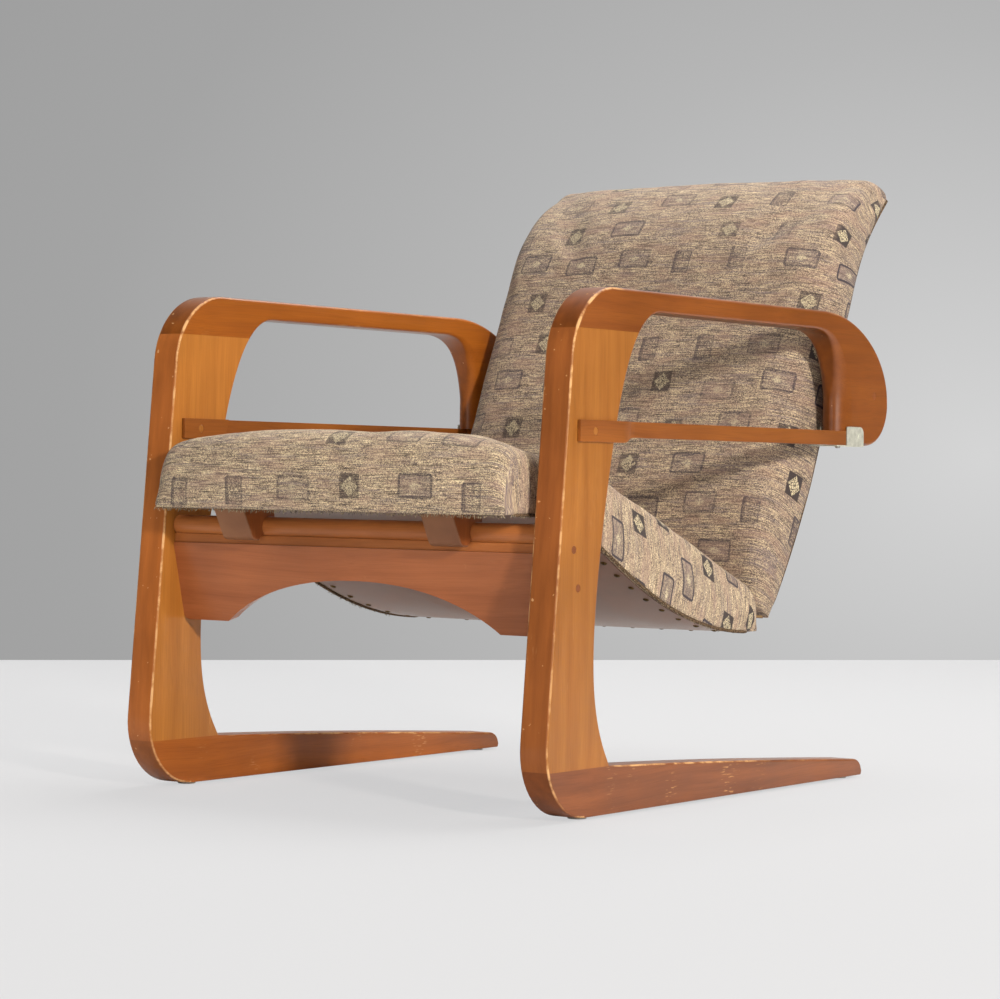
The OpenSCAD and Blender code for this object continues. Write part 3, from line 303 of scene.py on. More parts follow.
# The bars, strip and rest blocks carry a lighter copy of the wood: painted light against the shade under the
# seat, where the front bar sits.
BAR_WOOD_PAINTED_LIGHTER = varnished("bar", "#C0773F", "#A35E31", "#AB6334", "X", redden=0.2, wear=0.5)
HOOK_WOOD = varnished("hook", "#935229", "#774020", "#834724", "Z", wear=0.8)
print("timber:", [m.name for m in bpy.data.materials if m.name.startswith("varnished")])

# %% [markdown]
# Woven upholstery cloth
#
# The cover is a heathered furnishing cloth: uneven beige, cream and grey-mauve
# yarns lie across the chair, so close that they read as fine broken stripes, and
# small geometric figures are woven in. The cloth runs on over the sides, and there
# the stripes turn down with it. That needs a map that follows the surface, so each
# cushion carries its own UV in metres: U across the cloth and V along it.

# %% The layout and shapes of the woven figures
CELL_U, CELL_V, LOOM_U, LOOM_V = 0.086, 0.060, 5, 6
ROW_SHIFT, SCATTER_REACH = 0.37, 0.020


def figure_cells(nodes, lay):
    """Metres from the middle of the nearest cell, and two fixed numbers from 0 to 1 for each cell."""
    across, along = nodes.split(lay)[:2]
    row = nodes.maths("DIVIDE", along, CELL_V)
    row_no = nodes.maths("FLOOR", row)
    slide = nodes.maths("MULTIPLY_ADD", row_no, ROW_SHIFT * CELL_U, across)
    column = nodes.maths("DIVIDE", slide, CELL_U)
    column_no = nodes.maths("FLOOR", column)
    # The loom repeats after some figures each way
    repeat = {k: nodes.maths("FLOORED_MODULO", no, count)
              for k, (no, count) in enumerate(((column_no, LOOM_U), (row_no, LOOM_V)))}
    cell = nodes.result("ShaderNodeCombineXYZ", {**repeat, 2: 3.0})
    pick = nodes.add("ShaderNodeTexWhiteNoise", {"Vector": cell}, noise_dimensions="3D").outputs
    nudge = nodes.add("ShaderNodeSeparateColor", {0: pick["Color"]}).outputs
    middle = []
    for spot, number, size, push in ((column, column_no, CELL_U, nudge[0]), (row, row_no, CELL_V, nudge[1])):
        far = nodes.maths("SUBTRACT", nodes.maths("SUBTRACT", spot, number), 0.5)
        moved = nodes.maths("MULTIPLY_ADD", push, SCATTER_REACH, nodes.maths("MULTIPLY", far, size))
        middle.append(nodes.maths("SUBTRACT", moved, SCATTER_REACH / 2))
    return middle[0], middle[1], pick["Value"], nudge[2]


def rounded_block(nodes, u_off, v_off, half_u, half_v, corner):
    """Metres past the edge of a block with round corners, negative inside it."""
    over = {}
    for k, (off, half) in enumerate(((u_off, half_u), (v_off, half_v))):
        past = nodes.maths("SUBTRACT", nodes.maths("ABSOLUTE", off), half - corner)
        over[k] = nodes.maths("MAXIMUM", past, 0.0)
    far = nodes.length(nodes.result("ShaderNodeCombineXYZ", over))
    return nodes.maths("SUBTRACT", far, corner)


def lozenge(nodes, u_off, v_off, half_u, half_v):
    """Zero on the edge of an upright lozenge, -1 at its middle."""
    u_far, v_far = (nodes.maths("ABSOLUTE", nodes.maths("DIVIDE", off, half))
                    for off, half in ((u_off, half_u), (v_off, half_v)))
    return nodes.maths("SUBTRACT", nodes.maths("ADD", u_far, v_far), 1.0)


print("figures: cells of", CELL_U * 1000, "by", CELL_V * 1000, "mm")

# %% The cloth itself
# Noise in waves to a metre, across the cloth and along it, and its detail
YARNS = {"yarn": (44, 840, 2.0), "dash": (22, 640, 1.0), "patch": (30, 150, 2.0), "tint": (14, 210, 2.0),
         "blush": (17, 46, 1.0)}
ENDS, PICKS = 950, 1080
DARK_THREAD = "#4B4038"


def woven_cloth(name, tones, mauve, blush):
    made, nodes = new_material(name)
    flat = nodes.result("ShaderNodeUVMap", uv_map="cloth")
    # A yarn wanders by a millimetre or two, so nothing lies dead straight
    sway = nodes.vector("ADD", nodes.noise(flat, 14.0, out="Color"), (-0.5, -0.5, -0.5))
    lay = nodes.vector("ADD", flat, nodes.scaled(sway, 0.0035))
    sizes = {label: nodes.noise(nodes.stretched(lay, (across, along, 1)), 1.0, detail, 0.6)
             for label, (across, along, detail) in YARNS.items()}
    # Where a warp end or a weft pick comes up: one random value for each spot of the weave
    spot = nodes.vector("FLOOR", nodes.vector("MULTIPLY", flat, (ENDS, PICKS, 1)))
    fleck = nodes.add("ShaderNodeTexWhiteNoise", {"Vector": spot}, noise_dimensions="3D").outputs["Value"]
    mixed = nodes.maths("MULTIPLY_ADD", sizes["yarn"], 0.42, 0.11)
    for part, weight in ((fleck, 0.20), (sizes["patch"], 0.16)):
        mixed = nodes.maths("MULTIPLY_ADD", part, weight, mixed)
    colour = nodes.ramp(mixed, list(zip((0.38, 0.45, 0.50, 0.55, 0.62), tones)))
    over = [("tint", 0.50, 0.68, 0.42, mauve), ("blush", 0.48, 0.64, 0.34, blush),
            ("dash", 0.58, 0.64, 0.60, DARK_THREAD)]
    for label, low, high, most, tint in over:
        colour = nodes.blend(nodes.remap(sizes[label], low, high, 0.0, most), colour, tint)
    u_off, v_off, pick, fade = figure_cells(nodes, lay)
    # A figure shows more in some places than in others, and lets the ground through
    through = nodes.remap(mixed, 0.40, 0.60, 1.0, 0.66)
    rubbed = nodes.maths("MULTIPLY", through, nodes.remap(fade, 0.0, 0.6, 0.62, 1.0))
    # The sides of a cushion are hardly rubbed, so the figures stand out there
    broken = nodes.maths("MAXIMUM", rubbed, nodes.remap(nodes.sideways(), 0.55, 0.9, 0.0, 1.15))
    # Filigree: a pale thread that comes and goes over dark ones
    filigree = nodes.remap(nodes.noise(lay, 640.0, 1.0, 0.4, bend=1.0), 0.47, 0.53)
    wide = rounded_block(nodes, u_off, v_off, 0.0245, 0.0150, 0.0050)
    dark = rounded_block(nodes, u_off, v_off, 0.0145, 0.0150, 0.0015)
    tall = rounded_block(nodes, u_off, v_off, 0.0130, 0.0175, 0.0030)
    wide_gem = lozenge(nodes, u_off, v_off, 0.0110, 0.0070)
    dark_gem = lozenge(nodes, u_off, v_off, 0.0135, 0.0140)
    thick_side = nodes.maths("LESS_THAN", u_off, -0.0080)

    # Each layer: which cells, where in the cell, how strong, only where, and its colour
    framed, blocked, upright, faint = (0.00, 0.36), (0.36, 0.55), (0.55, 0.78), (0.78, 0.95)
    layers = [
        (framed, wide, (-0.0036, -0.0028, 0.34), None, "#62575C"),
        (framed, wide, (-0.0006, 0.0006, 0.86), nodes.remap(wide, -0.0038, -0.0028), "#443C42"),
        (framed, wide, (-0.0074, -0.0066, 0.46), nodes.remap(wide, -0.0096, -0.0086), "#51484D"),
        (framed, wide_gem, (-0.50, 0.00, 0.80), filigree, "#DCCDA8"),
        (blocked, dark, (-0.0010, 0.0003, 0.90), None, "#453C3A"),
        (blocked, dark_gem, (-0.16, -0.04, 0.92), filigree, "#D8C8A4"),
        (upright, tall, (-0.0030, -0.0018, 0.72), filigree, "#484043"),
        (upright, tall, (-0.0004, 0.0004, 0.75), nodes.remap(tall, -0.0030, -0.0018), "#4C4347"),
        (upright, tall, (-0.0004, 0.0004, 0.60), thick_side, "#4C4244"),
        (faint, wide, (-0.0020, -0.0002, 0.50), filigree, "#70636A")]
    for (low, high), field, (inner, outer, strength), only, tint in layers:
        above, below = nodes.maths("GREATER_THAN", pick, low), nodes.maths("LESS_THAN", pick, high)
        chosen = nodes.maths("MULTIPLY", above, below)
        factor = nodes.maths("MULTIPLY", chosen, nodes.remap(field, inner, outer, strength, 0.0))
        if only is not None:
            factor = nodes.maths("MULTIPLY", factor, only)
        colour = nodes.blend(nodes.maths("MULTIPLY", factor, broken), colour, tint)
    # Ribs of the weft stand up by a tenth of a millimetre or so
    ribs = nodes.maths("MULTIPLY_ADD", fleck, 0.10, sizes["yarn"])
    nodes.close(colour, 0.92, nodes.bump(0.7, 0.0013, ribs), Sheen_Weight=0.08, Sheen_Roughness=0.5,
                Specular_IOR_Level=0.15)
    return made


# One cloth in two copies: the seat's lighter, with painted light, and the back's darker, with painted shade,
# for how the lamps fall on each.
SEAT_CLOTH_PAINTED_LIGHTER = woven_cloth("heathered_cloth_painted_lighter", ("#5C5049", "#8A7969", "#AE9880", "#C9B191", "#EEDCB4"),
                         "#83767A", "#AD8C7C")
BACK_CLOTH_PAINTED_DARKER = woven_cloth("heathered_cloth", ("#50463F", "#7A6B61", "#9B8774", "#B49D84", "#DCC8A2"),
                         "#746970", "#9C7B6B")
print("cloth: repeats after", round(LOOM_U * CELL_U * 1000), "by", round(LOOM_V * CELL_V * 1000), "mm,",
      "yarns about", round(1000 / YARNS["yarn"][1], 1), "mm apart")

# %% [markdown]
# Leather-cloth, leather, metal and the small materials
#
# The underside and the rear of the back are closed with coated cloth, which looks
# like thin leather: a fine pebble under an even satin coat. The leather on the
# hooks is worn smooth. The brackets are dull nickel on steel, the tacks aged brass,
# and the glides a pale plastic.

# %% The other finishes
def coated(name, tone, deep, grain_mm, depth, rough):
    made, nodes = new_material(name)
    where = nodes.object_space()
    pebble = nodes.result("ShaderNodeTexVoronoi", {"Vector": where, "Scale": 1000 / grain_mm}, "Distance")
    cloud = nodes.noise(where, 9.0, 4.0, 0.6)
    gloss = nodes.remap(cloud, 0.3, 0.7, rough - 0.06, rough + 0.08)
    nodes.close(nodes.ramp(cloud, [(0.32, deep), (0.66, tone)]), gloss, nodes.bump(0.35, depth, pebble),
                Specular_IOR_Level=0.22)
    return made


def metal(name, bright, dull, rough, spots, metallic=1.0):
    made, nodes = new_material(name)
    tarnish = nodes.noise(nodes.object_space(), spots, 6.0, 0.65)
    nodes.close(nodes.ramp(tarnish, [(0.35, dull), (0.62, bright)]),
                nodes.remap(tarnish, 0.3, 0.7, rough + 0.12, rough - 0.05), nodes.bump(0.1, 0.0002, tarnish),
                Metallic=metallic)
    return made


def plain_weave(name, tone, deep):
    made, nodes = new_material(name)
    threads = nodes.noise(nodes.object_space(), 420.0)
    nodes.close(nodes.ramp(threads, [(0.35, deep), (0.65, tone)]), 0.95, nodes.bump(0.4, 0.0006, threads),
                Specular_IOR_Level=0.2)
    return made


LEATHER_CLOTH = coated("coated_leather_cloth", "#8F6F60", "#785C4C", 1.3, 0.0003, 0.40)
HOOK_LEATHER = coated("worn_hook_leather", "#946749", "#784F38", 1.6, 0.0004, 0.5)
NICKEL = metal("dull_nickel_plate", "#D6D6C8", "#B4B4A6", 0.42, 90.0, 0.4)
STEEL = metal("plain_steel_screw", "#A9A8A2", "#77756F", 0.4, 220.0)
BRASS = metal("aged_brass_tack", "#6F5A38", "#3F3322", 0.42, 260.0)
GLIDE = coated("pale_glide_plastic", "#D8D3C6", "#C6C0B2", 2.5, 0.0001, 0.5)
JUTE = plain_weave("jute_webbing", "#CDB98C", "#A08C60")
THREAD = plain_weave("frayed_cloth_thread", "#B9A888", "#5A5048")
# Dark tones of the braid and piping: partly their own colour, and on the back's rear edge partly painted
# shade.
BRAID = plain_weave("dark_edge_braid", "#77614A", "#3A2C20")
INNER_WOOD = timber("plain_sawn_pine", "#D9B883", "#BE9660", "#CBA871", "Y", redden=0.3, wear=0.0)
print("finishes:", len(bpy.data.materials))

# %% [markdown]
# The side frame as rounded boards
#
# A real frame like this is sawn from thick boards: a foot, a leg and an arm are
# doweled end to end, shaped as one, and the corners are then rounded over by
# router and sandpaper. So each piece is built as an outline swept across its
# thickness, with rounded corners made from rings. A ring at angle a sits rx(1-sin a)
# in from the face and moves the outline inward by v(1-cos a), which draws a
# quarter of an ellipse. Where two boards meet, the inward direction runs along the
# joint, so their sections match and the joint shows as a fine line only.

# %% The rounded board maker
STEPS, MITRE_LIMIT = 7, 0.35
IN_X, OUT_X = HALF_W - TIMBER_T, HALF_W


def piece(name, data, material=None):
    """Put a mesh into the scene as an object."""
    if material:
        data.materials.append(material)
    made = bpy.data.objects.new(name, data)
    scene.collection.objects.link(made)
    return made


def written(mesh, data):
    """Write a bmesh into a mesh, with its faces turned outward."""
    bmesh.ops.recalc_face_normals(mesh, faces=mesh.faces)
    mesh.to_mesh(data)
    mesh.free()
    return data


def skinned(name, mesh, rings, material=None):
    """Close rings of vertices into a solid and put it into the scene."""
    for near, far in zip(rings, rings[1:]):
        for i in range(len(near)):
            j = (i + 1) % len(near)
            mesh.faces.new((near[i], near[j], far[j], far[i]))
    mesh.faces.new(rings[0][::-1])
    mesh.faces.new(rings[-1])
    return piece(name, written(mesh, bpy.data.meshes.new(name)), material)


def rounded_board(name, outline, inward, depth, rub, wood):
    """Points y, z in mm with their steps inward; radius across the board and rub at each point."""
    mesh = bmesh.new()
    layer = mesh.verts.layers.float.new("corner")
    angles = [math.pi / 2 * k / STEPS for k in range(STEPS, -1, -1)]
    rings = []
    for face_x, way, turns in ((IN_X, 1, angles), (OUT_X, -1, angles[::-1])):
        for a in turns:
            rings.append([])
            for p, v, rx, worn in zip(outline, inward, depth, rub):
                x = face_x + way * rx * (1 - math.sin(a))
                vert = mesh.verts.new(place(x, *(p + v * (1 - math.cos(a)))))
                vert[layer] = math.sin(2 * a) * worn
                rings[-1].append(vert)
    return skinned(name, mesh, rings, wood)


def smooth_inward(p, radius):
    """Inward steps, mitred; the outline runs clockwise seen with Y right and Z up."""
    a, b = (-left_of(unit(way)) for way in (p - np.roll(p, 1, 0), np.roll(p, -1, 0) - p))
    middle = unit(a + b)
    return middle * (radius / np.maximum((middle * a).sum(1), MITRE_LIMIT))[:, None]


def baked(made):
    """Turn an object's modifiers into a plain mesh with smooth faces."""
    bpy.context.view_layer.update()
    deps = bpy.context.evaluated_depsgraph_get()
    seen = made.evaluated_get(deps)
    data = bpy.data.meshes.new_from_object(seen, preserve_all_data_layers=True, depsgraph=deps)
    made.modifiers.clear()
    made.data = data
    data.polygons.foreach_set("use_smooth", [True] * len(data.polygons))
    return data


def settle(made, sharp_deg=30.0):
    """Apply every modifier, mark sharp edges by angle and even out the shading."""
    baked(made).set_sharp_from_angle(angle=math.radians(sharp_deg))
    made.modifiers.new("weights", "WEIGHTED_NORMAL").keep_sharp = True
    baked(made)


print("boards are rounded in", STEPS, "steps")

# %% [markdown]
# Cutting the joints
#
# The rail is let into both faces of the leg, a plug hole goes in wherever a screw
# holds a cross bar, and the curl at the back of the arm is notched for the steel
# bracket. A Boolean does on the mesh what a chisel and a drill did on the timber.

# %% Cutters
BORE_SIDES = 32


def block_mesh(x0, x1, y0, y1, z0, z1):
    mesh = bmesh.new()
    bmesh.ops.create_cube(mesh, size=1.0)
    low, high = place(x0, y0, z0), place(x1, y1, z1)
    for vert in mesh.verts:
        vert.co = Vector([low[i] if vert.co[i] < 0 else high[i] for i in range(3)])
    return written(mesh, bpy.data.meshes.new("cutter_block"))


def bore_mesh(x0, x1, y, z, d):
    mesh = bmesh.new()
    middle = Matrix.Translation(place((x0 + x1) / 2, y, z)) @ Matrix.Rotation(math.pi / 2, 4, "Y")
    bmesh.ops.create_cone(mesh, cap_ends=True, segments=BORE_SIDES, radius1=d / 2000, radius2=d / 2000,
                          depth=abs(x1 - x0) / 1000, matrix=middle)
    return written(mesh, bpy.data.meshes.new("cutter_bore"))


def discard(made):
    data = made.data
    bpy.data.objects.remove(made)
    bpy.data.meshes.remove(data)


def cut(made, cutters):
    tools = [piece("cutter", data) for data in cutters]
    for tool in tools:
        step = made.modifiers.new("cut", "BOOLEAN")
        step.operation, step.solver, step.object = "DIFFERENCE", "EXACT", tool
    settle(made)
    for tool in tools:
        discard(tool)


def mirrored(made, name):
    """The left piece is the right one's mirror, with its faces turned out again."""
    data = made.data.copy()
    data.transform(Matrix.Scale(-1, 4, (1, 0, 0)))
    data.flip_normals()
    return piece(name, data)


print("cutters ready")

# %% [markdown]
# Foot, leg and arm outlines
#
# Each outline runs clockwise in the side view: up the front, over the top and back
# along the inside. The arm is the special one. Its underside starts square, with a
# small radius, and grows into a full bullnose inside the curl, because there the
# sitter's fingers wrap round it.

# %% Outlines of the right side frame
TOE, ARM_CORNER = (corner_y(80, 83), 83), (corner_y(90, 522), 522)
FACE_DEG = 180 - math.degrees(LEAN)
toe_arc, arm_arc = arc(TOE, 80, 270, FACE_DEG, 14), arc(ARM_CORNER, 90, FACE_DEG, 90, 18)
ARM_LOW, CURL_Y, CURL_TOP = ARM_H - ARM_T, FRAME_LEN - CURL_W, RAIL_Z + 0.444 * CURL_W
WAIST_Z, WAIST_W, NECK_W, ROOT_RUN, FOOT_LEN = 190, 87, 106, 93, 773.0
WAIST_Y, HEEL_Y = front_y(WAIST_Z) + WAIST_W, front_y(FOOT_JOINT_Z) + 137
RAIL_BACK_Y, ARM_ROOT_Y, ROOT_Z = 147.636, 240.636, RAIL_TOP + 3
RAIL_RISE, WAIST_RISE, FOOT_RUN = 267.5, 131.0, FOOT_LEN - HEEL_Y
curl_rear = bezier((FRAME_LEN - 1.34 * CURL_W, ARM_H), (FRAME_LEN - 0.624 * CURL_W, ARM_H),
                   (FRAME_LEN - 0.01 * CURL_W, ARM_H - 0.39 * CURL_W), (FRAME_LEN, CURL_TOP), 26)
curl_base = bezier((FRAME_LEN, CURL_TOP), (FRAME_LEN, RAIL_Z + 0.18 * CURL_W),
                   (FRAME_LEN - 0.19 * CURL_W, RAIL_Z), (FRAME_LEN - 0.474 * CURL_W, RAIL_Z), 14)
curl_inside = bezier((CURL_Y, ARM_LOW - 0.66 * CURL_W), (CURL_Y - 0.015 * CURL_W, ARM_LOW - 0.21 * CURL_W),
                     (CURL_Y - 0.15 * CURL_W, ARM_LOW), (CURL_Y - 0.564 * CURL_W, ARM_LOW), 24)
under_arm = bezier((ARM_ROOT_Y, ARM_LOW), (ARM_ROOT_Y - 0.46 * ROOT_RUN, ARM_LOW),
                   (RAIL_BACK_Y + 0.215 * ROOT_RUN, ARM_LOW - 0.56 * ROOT_RUN), (RAIL_BACK_Y, ROOT_Z), 24)
leg_back = bezier((RAIL_BACK_Y, ROOT_Z), (RAIL_BACK_Y - 0.15 * NECK_W, RAIL_TOP - 0.21 * RAIL_RISE),
                  (WAIST_Y, WAIST_Z + 0.3 * RAIL_RISE), (WAIST_Y, WAIST_Z), 16)
leg_heel = bezier((WAIST_Y, WAIST_Z), (WAIST_Y, WAIST_Z - 0.38 * WAIST_RISE),
                  (WAIST_Y + 0.09 * WAIST_W, FOOT_JOINT_Z + 0.31 * WAIST_RISE), (HEEL_Y, FOOT_JOINT_Z), 14)
foot_top = bezier((HEEL_Y, FOOT_JOINT_Z), (HEEL_Y + 0.326 * FOOT_RUN, 0.86 * FOOT_JOINT_Z),
                  (FOOT_LEN - 0.366 * FOOT_RUN, 39), (FOOT_LEN - 0.033 * FOOT_RUN, 25), 20)


def split_at(p, z):
    """Cut a curve at a height; both parts get the point on the cut."""
    for i in range(len(p) - 1):
        if (p[i][1] - z) * (p[i + 1][1] - z) <= 0 and p[i][1] != p[i + 1][1]:
            at = p[i] + (z - p[i][1]) / (p[i + 1][1] - p[i][1]) * (p[i + 1] - p[i])
            return np.vstack([p[:i + 1], at]), np.vstack([at, p[i + 1:]])
    raise ValueError("the curve never reaches that height")


toe_low, toe_high = split_at(toe_arc, FOOT_JOINT_Z)
arm_arc_low, arm_arc_high = split_at(arm_arc, ARM_JOINT_Z)
under_high, under_low = split_at(under_arm, ARM_JOINT_Z)
print("outline points:", sum(len(curve) for curve in (toe_arc, arm_arc, curl_rear, curl_base, curl_inside,
                                                      under_arm, leg_back, leg_heel, foot_top)))

# %% Build the three boards of one side
SAME_POINT, SOLE_Z = 0.01, 3
BULL_Y, BULL_X = 30, 18.9


def board(name, parts, joints, wood):
    """Each part: points, radius along the outline, radius across the board and rub. These are numbers
    or functions of the share of the part's run. Each joint: a point and the step inward there."""
    rows = []
    for points, *measures in parts:
        for k, p in enumerate(points):
            share = k / max(len(points) - 1, 1)
            if not rows or np.linalg.norm(rows[-1][0] - p) >= SAME_POINT:
                rows.append([np.array(p, float)] + [m(share) if callable(m) else m for m in measures])
    if np.linalg.norm(rows[0][0] - rows[-1][0]) < SAME_POINT:
        rows.pop()
    points, round_y, round_x, rub = (np.array(column, float) for column in zip(*rows))
    inward = smooth_inward(points, round_y)
    for at, step in joints:
        inward[np.argmin(np.linalg.norm(points - at, axis=1))] = step
    return rounded_board(name, points, inward, round_x, rub, wood)


def joint_at_end(curve, radius=3):
    """A step along a level joint that keeps the radius square to the curve."""
    way = curve[-1] - curve[-2]
    return curve[-1], (radius / max(abs(way[1] / np.linalg.norm(way)), 0.3), 0.0)


def bull(full, plain=4):
    """Radius inside the curl: full at its foot, easing to plain along the underside."""
    return lambda s: plain + (full - plain) * (1 - min(1.0, s / 0.85)) ** 1.3


def thinning(s):
    return 4 - s


toe_joint, front_joint = joint_at_end(toe_low), joint_at_end(arm_arc_low)
heel_joint, root_joint = ((HEEL_Y, FOOT_JOINT_Z), (-5.5, 0.0)), (under_low[0], (-4.0, 0.0))
right_foot = board("right_foot_shaped", [
    (straight((FOOT_LEN, 8), (FOOT_LEN - 2, SOLE_Z), 1), 1.5, 1.5, 0.2),
    (straight((FOOT_LEN - 3, SOLE_Z), (TOE[0] + 1, SOLE_Z), 12), 1.0, 1.0, 0.3),
    (toe_low, 3, 3, 1.0),
    (foot_top, 3, 3, 0.85),
    (bezier(foot_top[-1], (FOOT_LEN - 9, 24), (FOOT_LEN - 1, 18), (FOOT_LEN, 8), 8)[1:], 2.5, 2.5, 0.6)],
    [toe_joint, heel_joint], FOOT_WOOD_PAINTED_DARKER)
right_leg = board("right_leg_shaped", [
    (toe_high, 3, 3, 1.0),
    (straight(toe_arc[-1], arm_arc[0], 16), 3, 3, 1.0),
    (arm_arc_low, 3, 3, 1.0),
    (under_low, 3, 3, 0.5),
    (leg_back, 3, 3, 0.5),
    (leg_heel, 3, 3, 0.5)],
    [toe_joint, front_joint, root_joint, heel_joint], RIGHT_LEG_WOOD_PAINTED_DARKER)
right_arm = board("right_arm_shaped", [
    (arm_arc_high, 3.5, 3.5, 1.0),
    (straight((ARM_CORNER[0], ARM_H), curl_rear[0], 20), 4.5, 4.5, 0.35),
    (curl_rear, 5, 5, 0.45),
    (curl_base, 4, 4, 0.4),
    ([(CURL_Y, RAIL_Z)], 19, BULL_X, 0.1),
    (straight((CURL_Y, RAIL_Z + 6), curl_inside[0], 5), BULL_Y, BULL_X, 0.12),
    (curl_inside, bull(BULL_Y), bull(BULL_X), 0.2),
    (straight(curl_inside[-1], under_arm[0], 16), thinning, thinning, 0.4),
    (under_high, 3, 3, 0.5)],
    [front_joint, root_joint, ((CURL_Y, RAIL_Z), (BULL_Y, 1.0))], RIGHT_ARM_WOOD_PAINTED_DARKER)
print("boards:", [(o.name, len(o.data.polygons)) for o in (right_foot, right_leg, right_arm)])

# %% Cut the right side's joints, then mirror it
RAIL_T, RAIL_PROUD, RAIL_FRONT_Y, LAP_Z, CHEEK_T = 15.0, 4.0, 61.0, 432.5, 10.0
PIN_Y, PIN_Z, PIN_D, PLUG_D, PLUG_LEN = RAIL_FRONT_Y + 32, RAIL_Z + 6, 9.5, 9.5, 6.0
BAR_Z, BAR_BORE, BAR_DEPTH, REAR_BAR, STEP_Y, PAST = 325.7, 12.2, 14, (792.0, 506.0), 714.0, 2
strip_low_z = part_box("bearer_strip")[0].z * 1000
# The apron leans; its screw is so far down it and so far in from its face
APRON_LEAN, SCREW_DOWN, SCREW_IN, HOUSING_GAP, HOUSING_RUN = math.radians(14), 42, 10, 1, 60
lean_y, lean_z = math.sin(APRON_LEAN), math.cos(APRON_LEAN)
apron_screw = (BAR_Y - 10 + SCREW_DOWN * lean_y + SCREW_IN * lean_z,
               strip_low_z - SCREW_DOWN * lean_z + SCREW_IN * lean_y)
housing = (RAIL_FRONT_Y - HOUSING_GAP, RAIL_BACK_Y + HOUSING_RUN, LAP_Z, RAIL_TOP)


def plug_bore(y, z):
    return bore_mesh(OUT_X - PLUG_LEN, OUT_X + PAST, y, z, PLUG_D)


cut(right_leg, [
    block_mesh(OUT_X + RAIL_PROUD - RAIL_T, OUT_X + PAST, *housing),
    block_mesh(IN_X - PAST, IN_X + CHEEK_T - RAIL_PROUD, *housing),
    plug_bore(BAR_Y, strip_low_z + 5.5),
    plug_bore(*apron_screw),
    bore_mesh(IN_X - PAST, OUT_X + PAST, PIN_Y, PIN_Z, PIN_D + 0.2),
    bore_mesh(IN_X - PAST, IN_X + BAR_DEPTH, BAR_Y, BAR_Z, BAR_BORE)])
cut(right_arm, [
    block_mesh(IN_X - 5, OUT_X + 5, CURL_Y - 30, STEP_Y, RAIL_Z - 10, RAIL_TOP),
    plug_bore(*REAR_BAR)])
settle(right_foot)
side_pieces = {}
# The left pieces take the lighter copies of the wood, with painted light.
for made, node, left_wood_painted_lighter in ((right_foot, "foot", LEFT_FOOT_WOOD_PAINTED_LIGHTER), (right_leg, "leg", LEFT_LEG_WOOD_PAINTED_LIGHTER),
                              (right_arm, "arm", LEFT_ARM_WOOD_PAINTED_LIGHTER)):
    side_pieces["right_" + node] = made
    side_pieces["left_" + node] = mirrored(made, "left_" + node + "_shaped")
    side_pieces["left_" + node].data.materials[0] = left_wood_painted_lighter
for node, made in side_pieces.items():
    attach(made, "chair_frame")
    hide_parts(node)
print("side frames:", {k: len(v.data.polygons) for k, v in side_pieces.items()})

# %% [markdown]
# Smaller solid parts
#
# Rails, bars, hooks, brackets and pins are simple shapes, and the CAD mesh already
# holds them. A copy gets its loose triangles merged into clean faces, a small bevel
# on every sharp edge, and even shading. The bevel is what catches the light: no
# real edge is a perfect knife edge.

# %% Ease the edges of CAD copies
def eased(node, width_mm, material, body):
    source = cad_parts[node]
    data = source.data.copy()
    data.materials.clear()
    made = piece(node + "_eased", data, material)
    mesh = bmesh.new()
    mesh.from_mesh(data)
    bmesh.ops.transform(mesh, matrix=source.matrix_world, verts=mesh.verts)
    bmesh.ops.remove_doubles(mesh, verts=mesh.verts, dist=1e-6)
    bmesh.ops.dissolve_limit(mesh, angle_limit=math.radians(1.0), verts=mesh.verts, edges=mesh.edges)
    written(mesh, data)
    bevel = made.modifiers.new("ease", "BEVEL")
    bevel.width, bevel.segments = width_mm / 1000, 2
    bevel.limit_method, bevel.angle_limit = "ANGLE", math.radians(35)
    settle(made, 40)
    # No rubbed corners on these pieces
    made.data.attributes.new("corner", "FLOAT", "POINT")
    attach(made, body)
    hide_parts(node)


EASED = {
    "chair_frame": [
        ("left_side_rail", 1.2, RAIL_WOOD), ("right_side_rail", 1.2, RAIL_WOOD),
        ("rail_cheeks", 1.0, RAIL_WOOD), ("rail_pins", 0.8, RIGHT_LEG_WOOD_PAINTED_DARKER),
        ("apron", 2.0, APRON_WOOD), ("bearer_strip", 1.5, BAR_WOOD_PAINTED_LIGHTER), ("front_bar", 0.8, BAR_WOOD_PAINTED_LIGHTER),
        ("rear_bar", 0.6, BAR_WOOD_PAINTED_LIGHTER), ("frame_plugs", 0.4, FOOT_WOOD_PAINTED_DARKER),
        ("left_rail_bracket", 0.35, NICKEL), ("right_rail_bracket", 0.35, NICKEL),
        ("bracket_screws", 0.2, STEEL), ("bracket_pins", 0.5, NICKEL), ("glides", 0.6, GLIDE)],
    "seat_unit": [
        ("left_hook", 2.5, HOOK_WOOD), ("right_hook", 2.5, HOOK_WOOD), ("hook_facings", 0.5, HOOK_LEATHER),
        ("left_rest_block", 2.0, BAR_WOOD_PAINTED_LIGHTER), ("right_rest_block", 2.0, BAR_WOOD_PAINTED_LIGHTER),
        ("left_joining_strap", 0.4, STEEL), ("right_joining_strap", 0.4, STEEL)]}
for body, rows in EASED.items():
    for node, width, material in rows:
        eased(node, width, material, body)
print("eased:", sum(len(rows) for rows in EASED.values()), "nodes")

